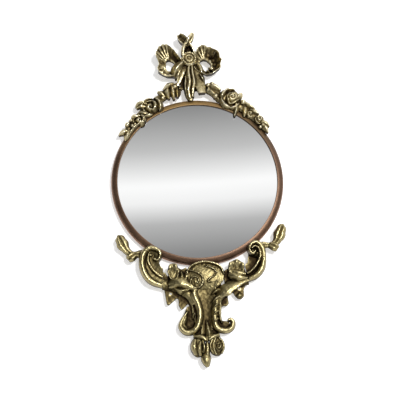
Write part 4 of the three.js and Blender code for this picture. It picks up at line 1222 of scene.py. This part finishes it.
# Stems and leaves are routes of [x, z, half width, rise], and berries are (x, z, radius, rise).
LEFT_GARLAND = {
    "stem": [
        [-24, 143, 6, 7], [-44, 131, 7, 7], [-62, 117, 8, 8], [-82, 98, 7, 8], [-95, 84, 6, 8],
        [-103, 72, 4, 7],
    ],
    "leaves": [
        [[-24, 150, 3.5, 11], [-20, 139, 5.2, 15], [-22, 128, 2, 10]],
        [[-30, 148, 3.5, 10], [-29, 137, 4.4, 13], [-27, 125, 2, 9]],
        [[-37, 145, 4, 10], [-37, 134, 4.6, 13], [-34, 126, 2, 9]],
        [[-26, 151, 3, 10], [-34, 148, 4.4, 13], [-42, 141, 2, 10]],
        [[-40, 130, 3, 9], [-45, 136, 4.6, 11], [-51, 139, 2, 9]],
        [[-66, 116, 5, 10], [-77, 119, 7, 11], [-84, 115, 3, 8]],
        [[-66, 103, 4, 10], [-73, 106, 4.5, 12], [-80, 109, 2, 9]],
        [[-80, 101, 3, 11], [-87, 101, 4, 13], [-91, 97, 2, 9]],
        [[-98, 80, 4, 10], [-105, 77, 4.5, 11], [-111, 73, 1.5, 8]],
        [[-96, 80, 4, 10], [-99, 71, 5, 13], [-102, 63, 1.5, 8]],
        [[-80, 89, 2, 13], [-87, 84, 3, 14.5], [-93, 77, 3, 13], [-97, 70, 1.5, 11]],
        [[-60, 102, 2, 12], [-66, 102, 3.4, 13], [-72, 100, 2, 12]],
    ],
    "petals": [
        {"x": -62, "z": 114, "radius": 15, "start": -32, "end": 68, "half": 4.4, "rise": 16},
        {"x": -62, "z": 114, "radius": 8, "start": -80, "end": 75, "half": 4, "rise": 20},
        {"x": -62, "z": 114, "radius": 13.5, "start": 75, "end": 170, "half": 2.4, "rise": 13},
        {"x": -61, "z": 114, "radius": 12.5, "start": 185, "end": 275, "half": 2.2, "rise": 12},
        {"x": -79, "z": 94, "radius": 8, "start": -20, "end": 75, "half": 2.6, "rise": 15},
    ],
    "berries": [
        (-25, 144, 4.5, 13), (-44, 129, 3.6, 9), (-92, 94, 3.5, 12), (-97, 88, 4.6, 13),
        (-90, 85, 3.5, 14), (-86, 88, 2.6, 13),
    ],
    "roses": [
        {"x": -62, "z": 114.5, "radius": 14, "rise": 15, "twist": 2.6, "turns": 1.5, "deep": 0.4},
        {"x": -79, "z": 94, "radius": 10.5, "rise": 16, "twist": 3, "turns": 1.4, "deep": 0.4},
    ],
}
RIGHT_GARLAND = {
    "stem": [
        [24, 140, 7, 7], [40, 129, 7, 7], [58, 119, 8, 8], [77, 104, 8, 8], [92, 89, 7, 8],
        [104, 72, 4, 7],
    ],
    "leaves": [
        [[24, 145, 3, 9], [34, 142, 5, 12], [43, 136, 2.5, 9]],
        [[27, 136, 4, 9], [34, 128, 4, 9], [40, 119, 3, 8]],
        [[48, 116, 4, 10], [45, 112, 4, 10], [44, 107, 1.5, 8]],
        [[64, 113, 3, 11], [63, 103, 4, 12], [60, 93, 1.5, 9]],
        [[66, 118, 4, 10], [71, 125, 4.5, 12], [75, 130, 1.5, 9]],
        [[76, 113, 4, 10], [84, 108, 4, 12], [91, 103, 2, 10]],
        [[84, 102, 4, 10], [91, 98, 4, 12], [97, 94, 2, 10]],
        [[76, 106, 4, 11], [76, 99, 4.5, 13], [74, 91, 2, 11]],
        [[98, 82, 4, 10], [105, 79, 4.5, 11], [111, 75, 1.5, 8]],
        [[99, 80, 4, 10], [104, 73, 4.5, 11], [108, 65, 1.5, 8]],
    ],
    "petals": [
        {"x": 57, "z": 122, "radius": 14, "start": 110, "end": 185, "half": 4.2, "rise": 14},
        {"x": 57, "z": 121, "radius": 14.5, "start": 170, "end": 262, "half": 4, "rise": 14},
        {"x": 57, "z": 122, "radius": 14.5, "start": 60, "end": 125, "half": 3.4, "rise": 13},
        {"x": 57, "z": 120, "radius": 14, "start": 255, "end": 330, "half": 3.4, "rise": 12},
    ],
    "berries": [
        (25, 145, 4, 12), (31, 147, 3.6, 12), (35, 127, 4.5, 11), (75, 114, 5, 14),
        (97, 74, 3.4, 12), (101, 77, 2.8, 12),
    ],
    "roses": [
        {"x": 56, "z": 122, "radius": 16.5, "rise": 12, "twist": 1, "turns": 1.0},
        {"x": 59, "z": 121.5, "radius": 11, "rise": 19, "turns": 2.4, "deep": 0.2},
        {"x": 84, "z": 96, "radius": 8, "rise": 12, "petals": 4, "twist": 1, "turns": 1.3},
        {"x": 96, "z": 86, "radius": 8, "rise": 15, "twist": 2.5, "turns": 2},
    ],
}


def garland(name, spray, lap, material):
    base, side = BACK["garland"], lap["side"]
    near, far = lap["reach"]
    skins = [
        band(spray["stem"], base),
        *(leaf(route, base) for route in spray["leaves"]),
        *(bud(*berry, base) for berry in spray["berries"]),
        *(rose(base=base, **flower) for flower in spray["roses"]),
        *(petal(base=base, **curl) for curl in spray["petals"]),
        side_block(side, near, far, TONGUE, lap["heights"]),
    ]
    heights = LAP_HEIGHTS["garland"]
    over_tongue = side_block(side, 0.1, lap["seam"] + GAP, (TONGUE[1], IN_FRONT), heights)
    past_tongue = side_block(side, 0.1, near, (0, IN_FRONT), heights)
    casting(name, skins, [ring_room(), over_tongue, past_tongue], material)


# ------------------------------------------------------------------ shield bracket

SHIELD = {
    "x": 2, "z": -142.5, "radii": (26, 23.5, 21, 24.5, 26, 23, 17, 22), "rise": 14.3,
    "punched": 0.9,
}
SHIELD_RIM = [
    [-24, -143, 1.2, 14], [-22, -132, 1.7, 15.5], [-14, -125, 1.9, 16.5], [1, -122, 2.0, 17],
    [15, -125, 2.1, 17.5], [24, -131, 2.0, 17], [28, -141, 1.6, 15],
]
CURLS = [
    [
        [-21, -132, 1.0, 15], [-13, -135, 1.2, 16.2], [-5, -139.5, 1.4, 17.2],
        [-1.8, -148, 1.5, 17.4], [-6, -156.4, 1.5, 17.4], [-14.5, -157.6, 1.4, 17],
        [-19.6, -151, 1.3, 16.6], [-17, -143.6, 1.2, 16.4], [-11, -142.6, 1.1, 16.6],
        [-8, -147.5, 1.0, 16.6], [-11.5, -151.5, 1.0, 16.4],
    ],
    [[2, -128.5, 1.0, 16.4], [11, -131, 1.2, 17], [16.5, -137, 1.2, 16.8], [14, -142, 1.0, 16.4]],
    [[13, -143.5, 1.0, 16.4], [7, -146, 1.4, 17.2], [5, -150.5, 1.3, 17.2], [9.5, -151, 1.0, 16.6]],
]
NECK = [
    [2, -148, 16, 14], [1.5, -162, 13, 12], [1, -178, 10, 10.5], [0.5, -193, 7.5, 10],
    [-0.5, -206, 6.5, 10], [-1, -222, 8, 10.5],
]
SPEAR = [[-1, -203, 0.8, 13], [-0.5, -211, 2.6, 16], [0.5, -221, 5.6, 15], [0, -229, 1.5, 13]]
CALYX = [
    [[-20, -223, 3, 11], [-9.5, -225, 4, 14.5], [-3.2, -229.5, 3.2, 15]],
    [[16, -223, 3, 11], [7.5, -225.5, 4, 14.5], [0.6, -229.5, 3.2, 15]],
    [[-1.5, -221, 2.6, 10], [-1.5, -227, 2.8, 12.5], [-1.7, -231.7, 2.4, 12]],
]
BODY_WEB = [
    [-24, -150], [24, -150], [20, -172], [14, -186], [13, -206], [20, -214], [12, -222.7],
    [-14, -222.3], [-20, -214], [-14, -204], [-14, -186], [-20, -172],
]
# Each side of the bracket: leaves, folds and straps that spread from the shield, the hook under
# them with what lies in its hollow, and the pierced tab. The last number of an upright leaf is
# how far its flutes are turned.
LEFT_BRACKET = {
    "bursts": [
        [[-50, -154, 3, 12], [-38, -152, 4.6, 16], [-26, -156, 3.6, 17], [-18, -160, 1.5, 15]],
    ],
    "strip": [
        [-10, -160.5, 1.6, 17], [-22, -152.5, 5, 20.5], [-32, -147, 7, 21.5],
        [-42, -145.6, 6.2, 18.5], [-51, -149, 3, 13],
    ],
    "leaves": [
        [[-33, -148, 3.5, 15], [-30, -141, 4, 17], [-31, -133.5, 1.4, 13]],
        [[-27, -150, 3, 14], [-24.5, -142, 3, 15], [-25.5, -135, 1.2, 12]],
        [[-42, -157, 2, 13], [-33, -161.5, 4.6, 18], [-22, -160.5, 2.6, 16]],
    ],
    "web": [
        [-62, -140], [-58, -131], [-54, -133], [-50, -139], [-48, -128], [-38, -125], [-31, -129.5],
        [-24, -127], [-20, -146], [-40, -152], [-58, -150],
    ],
    "upright": (-42.4, -132.8, 8.6, 12.4, 17, 1.1),
    "bosses": [],
    "strap": [
        [-62, -147, 9, 8], [-46, -152, 8, 8], [-33, -158, 8, 10], [-22, -167, 7, 11],
        [-16, -180, 5, 11],
    ],
    "hook": [
        [-13, -157, 3, 15], [-15.5, -167, 6, 16], [-11, -180, 5.2, 15], [-9, -192, 5, 15],
        [-10.8, -204, 5, 15], [-15.5, -213, 5, 15], [-24, -217.6, 4.8, 14], [-32, -216, 4.2, 14],
        [-36.6, -208.5, 3.6, 13], [-33, -198.5, 2.4, 12], [-26, -189.5, 1.6, 11],
    ],
    "inner": [
        [[-26, -191, 2, 8], [-31, -199, 4.4, 11.5], [-33.5, -207, 4.6, 11.5], [-28, -213, 2.5, 9]],
        [[-22, -176, 2.5, 10], [-19, -186, 2.5, 10], [-19.5, -200, 2, 9]],
    ],
    "hollow": [[-14, -180], [-26, -182], [-36, -202], [-32, -214], [-22, -216], [-12, -208]],
    "tab": [
        [-57, -152], [-54, -177], [-51, -178.5], [-40, -169.5], [-37.5, -171], [-37.5, -180],
        [-34.5, -186], [-31, -184], [-25, -178], [-20, -186], [-14, -170], [-30, -150],
    ],
    "hole": (-48, -163),
    "folds": [(-16.2, -192, -16.6, -206, 1.0, 13)],
}
RIGHT_BRACKET = {
    "bursts": [
        [[34, -141, 4, 14], [42, -144.5, 6.4, 18], [50, -147.5, 5.4, 19], [60, -148.5, 2.4, 16]],
        [[38, -137, 3, 14], [48, -140.5, 5, 17.5], [58, -143, 3, 16]],
    ],
    "strip": [
        [66, -148.5, 2.4, 14], [52, -152, 4.6, 17], [39, -157, 7.4, 19], [28, -163.5, 8.6, 20],
        [18, -171, 5, 17],
    ],
    "leaves": [
        [[20, -161, 3, 15], [13.5, -164, 3, 17.5], [8.5, -168, 1, 14]],
        [[20, -170, 3, 15], [13.5, -174, 3, 17.5], [8.5, -179, 1, 14]],
        [[17, -180, 3, 14], [12, -184, 2.8, 17], [7.5, -189, 1, 14]],
        [[16, -190, 3, 14], [11.5, -194, 2.6, 16.5], [7.5, -199, 1, 13]],
        [[15, -200, 3, 13], [11.5, -204, 2.4, 16], [8.5, -209, 1, 13]],
    ],
    "web": [[28, -153], [27, -136], [36, -131], [46, -124], [56, -131], [60, -141], [54, -150]],
    "upright": (45.6, -132.4, 12.6, 11.8, 16.5, 0.4),
    "bosses": [(47.5, -171, 5.6, 8, 4.4)],
    "strap": [
        [65, -147, 9, 8], [48, -152, 8, 9], [34, -158, 8, 11], [22, -168, 7, 12], [14, -181, 6, 12],
        [11, -197, 6, 12],
    ],
    "hook": [
        [18, -169, 3.6, 13], [13.5, -184, 4.4, 14], [10.8, -198, 4.8, 14], [11, -209.5, 4.8, 14.5],
        [16, -216, 4.6, 15], [25, -218.4, 4.4, 15], [32.6, -215.4, 4.2, 15],
        [35.4, -208.5, 3.8, 15], [33, -203.8, 3, 15], [28.6, -204.4, 2.2, 15],
    ],
    "inner": [
        [[20, -170, 2.6, 13], [18.5, -184, 3, 14], [17.5, -198, 2.6, 13], [20, -208, 1.6, 11]],
    ],
    "hollow": [[12, -180], [15, -196], [20, -204], [30, -206], [31, -212], [22, -215], [10, -208]],
    "tab": [
        [60, -150], [54, -164], [54, -172], [50, -176], [45, -175.5], [41, -171], [39, -166.5],
        [35, -166.5], [31, -171], [32, -181], [29, -184.5], [24, -184], [18, -188], [14, -172],
        [30, -152],
    ],
    "hole": (48, -161.5),
    "folds": [(62, -147, 46, -150.5, 1.4, 17), (40, -138, 50, -141, 1.2, 16)],
}
TAB = {"from": 2, "to": 7, "hole": 1.8}
WEB = (BACK["shield"], 8)
RING_REST = ((-16, 16), (BACK["shield"], 10.5), (-140, 2 - RING_RADIUS))  # under the ring's side
SCROLL_SEAM = {
    "left": {"side": -1, "line": ((56, -128), (59.5, -158))},
    "right": {"side": 1, "line": ((58, -128), (62.5, -158))},
}


def past_seam(seam, way):
    """Everything outside a scroll's joint, or inside it where way is -1."""
    (x0, z0), (x1, z1) = seam["line"]
    near = GAP if way < 0 else 0
    far = 90 * way
    outline = [[x0 + near, z0], [x0 + far, z0], [x1 + far, z1], [x1 + near, z1]]
    return plate(mirrored(outline) if seam["side"] < 0 else outline, -1, IN_FRONT)


def bracket_side(part):
    base = BACK["shield"]
    return [
        band(part["strip"], base, leaning(-0.6), across=23, waves=3, wave=0.09),
        *(band(route, base, across=23, waves=2, wave=0.16) for route in part["bursts"]),
        *(leaf(route, base) for route in part["leaves"] + part["inner"]),
        frond(*part["upright"], base),
        plate(part["web"], *WEB),
        *(bud(x, z, wide, rise, base, high) for x, z, wide, rise, high in part["bosses"]),
        band(part["strap"], base + 1, across=21),
        band(part["hook"], base, across=19),
        plate(part["hollow"], *WEB),
        plate(part["tab"], TAB["from"], TAB["to"]),
        *(ridge(*fold, base) for fold in part["folds"]),
    ]


def shield_field():
    """The shield's field: domed, with a punched ground."""
    radii = smooth([[radius] for radius in SHIELD["radii"]], 96, closed=True)[:, 0]

    def outline(angle):
        return radii[None, :]

    def rise(share, angle):
        dome = 0.73 + 0.27 * np.cos(share * math.pi / 2)
        radius = radii[None, :] * share
        x, z = np.cos(angle) * radius, np.sin(angle) * radius
        punched = np.sin(x * 2.2 + np.sin(z * 1.3)) * np.sin(z * 2.2 + np.sin(x * 1.1))
        return SHIELD["rise"] * dome - SHIELD["punched"] * np.abs(punched)

    place = SHIELD["x"], SHIELD["z"], BACK["shield"]
    return mound(*place, outline, rise, sectors=96, rings=44)


def shield_bracket(material):
    base = BACK["shield"]
    skins = [
        shield_field(),
        band(SHIELD_RIM, base, waves=14, wave=0.12),
        *(band(route, base, across=9) for route in CURLS),
        band(NECK, base, dished, across=25),
        band(SPEAR, base, folded, across=15),
        plate(BODY_WEB, *WEB),
        *bracket_side(LEFT_BRACKET),
        *bracket_side(RIGHT_BRACKET),
        *(band(route, base) for route in CALYX),
        block(*RING_REST),
    ]
    tools = [
        ring_room(),
        *(past_seam(seam, 1) for seam in SCROLL_SEAM.values()),
        *(rod(TAB["hole"], -1, IN_FRONT, *part["hole"]) for part in (LEFT_BRACKET, RIGHT_BRACKET)),
        *every_bud_room(),
    ]
    casting("shield_bracket", skins, tools, material)


# ------------------------------------------------------------------ upper scrolls

# Both are written for the right side; the left one is mirrored, with a wider curl.
SCROLL = {
    "right": {
        "volute": {"x": 75, "z": -107, "radius": 12.5, "rise": 14.5, "turns": 1.5},
        "rim": [
            [58, -151, 3.2, 14], [72.5, -145, 4.6, 16], [81.5, -134.5, 5, 17],
            [84.8, -120, 4.4, 18], [83.4, -106.5, 4.8, 19], [76.6, -99, 4, 19.5],
            [68.5, -101.5, 3.2, 19.5], [65.5, -109, 2.6, 19], [70, -115, 2.4, 18],
            [74.5, -111, 2, 18],
        ],
        "reed": [
            [52, -145, 1.8, 14], [64, -140, 2.2, 16], [74, -130.5, 2.4, 18], [80, -118, 2.2, 19],
            [78.5, -108, 2, 19], [73.5, -104.5, 1.8, 19], [69, -107.5, 1.8, 19],
        ],
        "strap": [
            [48, -143, 9, 7], [61, -139, 10, 6.5], [71.5, -130, 11, 6], [74.5, -117, 11, 6],
            [74, -106, 10.5, 8.5],
        ],
        "wing": [
            [84, -101.5, 5, 8], [95, -102.4, 4, 8], [103, -100.5, 5, 8.5], [108.5, -93, 7.8, 10],
            [112.6, -84, 8.4, 10.5], [116, -76.5, 5.6, 9], [118, -73.5, 2, 6],
        ],
        "lobe": [[95, -102, 5, 9], [102, -105.5, 6.6, 11], [106.5, -109, 4.4, 9]],
    },
    "left": {
        "volute": {"x": 71, "z": -107, "radius": 13.5, "rise": 14.5, "turns": 1.5},
        "rim": [
            [56, -153, 3.2, 14], [72.5, -145.5, 4.8, 16], [81.5, -134.5, 5.2, 17],
            [85.2, -119, 5.2, 18], [81.5, -104.5, 5.2, 19], [73, -98.6, 4.4, 19.5],
            [63.5, -101.4, 3.6, 19.5], [59, -108, 2.8, 19], [63, -116, 2.4, 18],
            [69, -114, 1.8, 18],
        ],
        "reed": [
            [50, -143, 1.8, 14], [61, -138.5, 2.2, 16], [71, -128.5, 2.4, 17],
            [76.5, -116.5, 2.2, 17], [75, -106, 1.6, 16],
        ],
        "strap": [
            [46, -143, 9, 10], [59, -138.5, 10, 12], [69, -130, 11, 13], [72.5, -117, 11, 13],
            [72, -106, 10.5, 12],
        ],
        "wing": [
            [84, -104.5, 6, 8], [95, -104.8, 4.6, 8], [103, -102, 5, 8.5], [109, -94, 7.6, 10],
            [113, -85.5, 8.4, 10.5], [116, -79, 5.6, 9], [118, -76, 1.8, 6],
        ],
        "lobe": [[94, -105, 5.5, 9], [100.5, -109, 7, 11], [104.5, -112.5, 4.6, 9]],
    },
}


def scroll(name, material):
    part = SCROLL[name]
    seam = SCROLL_SEAM[name]
    side = seam["side"]

    def on_side(route):
        return mirrored(route) if side < 0 else route

    base = BACK["scroll"]
    volute = dict(part["volute"], petals=0, twist=1.0, deep=0.45)
    volute["x"] *= side
    volute["turns"] *= side
    skins = [
        band(on_side(part["strap"]), base, dished, across=21),
        rose(base=base, **volute),
        band(on_side(part["rim"]), base),
        band(on_side(part["reed"]), base, across=9),
        band(on_side(part["wing"]), BACK["wing"], lobed, across=23, waves=4, wave=0.08),
        leaf(on_side(part["lobe"]), BACK["wing"]),
    ]
    casting(f"scroll_{name}", skins, [ring_room(), past_seam(seam, -1)], material)


# ------------------------------------------------------------------ rosebuds and drop

BUDS = {
    "rosebud_left": {
        "x": -14.5, "z": -238, "wide": 11.2, "high": 14.4,
        "petals": [
            [[-18, -227.6, 3, 12], [-20, -238, 5, 15], [-17.5, -248.5, 3.4, 12]],
            [[-11, -231, 2, 14], [-13, -241, 3.8, 18.5], [-11.6, -250.4, 2.2, 14]],
            [[-8, -230, 1.8, 12], [-6.4, -239, 2.4, 14.5], [-8, -247, 1.6, 12]],
        ],
        "face": {"x": -19, "z": -235, "radius": 4.4, "rise": 15.5, "turns": 1.2, "twist": 2},
    },
    "rosebud_right": {
        "x": 10.8, "z": -238, "wide": 11.2, "high": 14.2,
        "petals": [
            [[6, -228, 2, 11], [2, -238, 2.2, 12], [5.4, -248.5, 2, 10]],
            [[10, -227, 2.4, 12], [6.2, -238, 2.6, 14], [9, -250, 2.4, 12]],
            [[14, -227.4, 2, 11], [19, -233, 2, 12], [20, -241, 2, 12], [16.5, -248.6, 2, 11]],
        ],
        "face": {"x": 13.2, "z": -239, "radius": 7.6, "rise": 18, "turns": 2.2, "twist": 2.4},
    },
}
DROP = [
    [-4.4, -248, 6, 11], [-4.8, -254, 7.2, 13.5], [-4.2, -260, 5.6, 13.5], [-3, -265.4, 2.4, 10],
]
DROP_STEM = [[-1.9, -232.6, 2.4, 12], [-1.9, -239, 3, 13], [-2.4, -246, 4, 13], [-4, -252, 4, 12]]
DROP_FOLD = (-6, -252, -3, -264, 0.9, 14)
BUD_BODY = 10  # rise of a bud's closed body
BUD_VOXEL = 0.45


def bud_rooms(form):
    """The room that a bud leaves for itself in what clasps it."""
    x, z, base = form["x"], form["z"], BACK["bud"]
    wide, high = form["wide"] + GAP, form["high"] + GAP
    turn = full_turn(48)
    radius = oval(wide, high)(turn)
    edge = np.stack([x + radius * np.cos(turn), z + radius * np.sin(turn)], -1)
    rooms = [plate(edge, -1, base + 0.4 * BUD_BODY), bud(x, z, wide, BUD_BODY + GAP, base, high)]
    for route in form["petals"]:
        wider = [[x, z, half + GAP, rise + GAP] for x, z, half, rise in route]
        rooms.append(band(wider, base, across=11))
    return rooms


def every_bud_room():
    return [room for form in BUDS.values() for room in bud_rooms(form)]


def rosebud(name, form, material):
    """Half-open rosebud: petals folded over a closed body with its heart showing."""
    base = BACK["bud"]
    wide, high = form["wide"] - GAP, form["high"] - GAP
    body = bud(form["x"], form["z"], wide, BUD_BODY, base, high)
    petals = [band(route, base, across=11) for route in form["petals"]]
    face = rose(base=base, **form["face"])
    casting(name, [body, face, *petals], [], material, voxel=BUD_VOXEL)


def pendant_drop(material):
    base = BACK["bud"]
    skins = [band(DROP, base, across=17), band(DROP_STEM, base), ridge(*DROP_FOLD, base)]
    casting("pendant_drop", skins, every_bud_room(), material, voxel=BUD_VOXEL)


# ------------------------------------------------------------------ the mirror

def plain_nodes(material, *names):
    """Gives a finish to CAD nodes that stay as they are."""
    for name in names:
        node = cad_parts[name]
        node.data.materials.clear()
        node.data.materials.append(material)


camera()
room()
lamps()
stage()

brass = antique_brass("rubbed_and_brightly_lit_brass", RUBBED_AND_BRIGHTLY_LIT_BRASS, 0.42)
dull_and_dimly_lit = antique_brass("dull_and_dimly_lit_brass", DULL_AND_DIMLY_LIT_BRASS, 0.34)
steel = zinc_steel()
frame_ring(bronzed_ring())
mirror_glass(silvered_glass())
back_board(stained_board())
fixings(steel)
turn_buttons(steel)
hanger(steel)
hanging_loop(steel)
bumpers(dark_felt())
plain_nodes(packing_card(), "packing_sheet")
plain_nodes(steel, "garland_lap_screw_left", "garland_lap_screw_right")
plain_nodes(steel, "shield_screw_1", "shield_screw_2")

bow(brass)
rosette(brass)
garland("garland_left", LEFT_GARLAND, LAP["left"], brass)
garland("garland_right", RIGHT_GARLAND, LAP["right"], brass)
shield_bracket(dull_and_dimly_lit)
scroll("left", dull_and_dimly_lit)
scroll("right", dull_and_dimly_lit)
for bud_name, bud_form in BUDS.items():
    rosebud(bud_name, bud_form, dull_and_dimly_lit)
pendant_drop(dull_and_dimly_lit)

bpy.context.scene.view_settings.view_transform = "Standard"
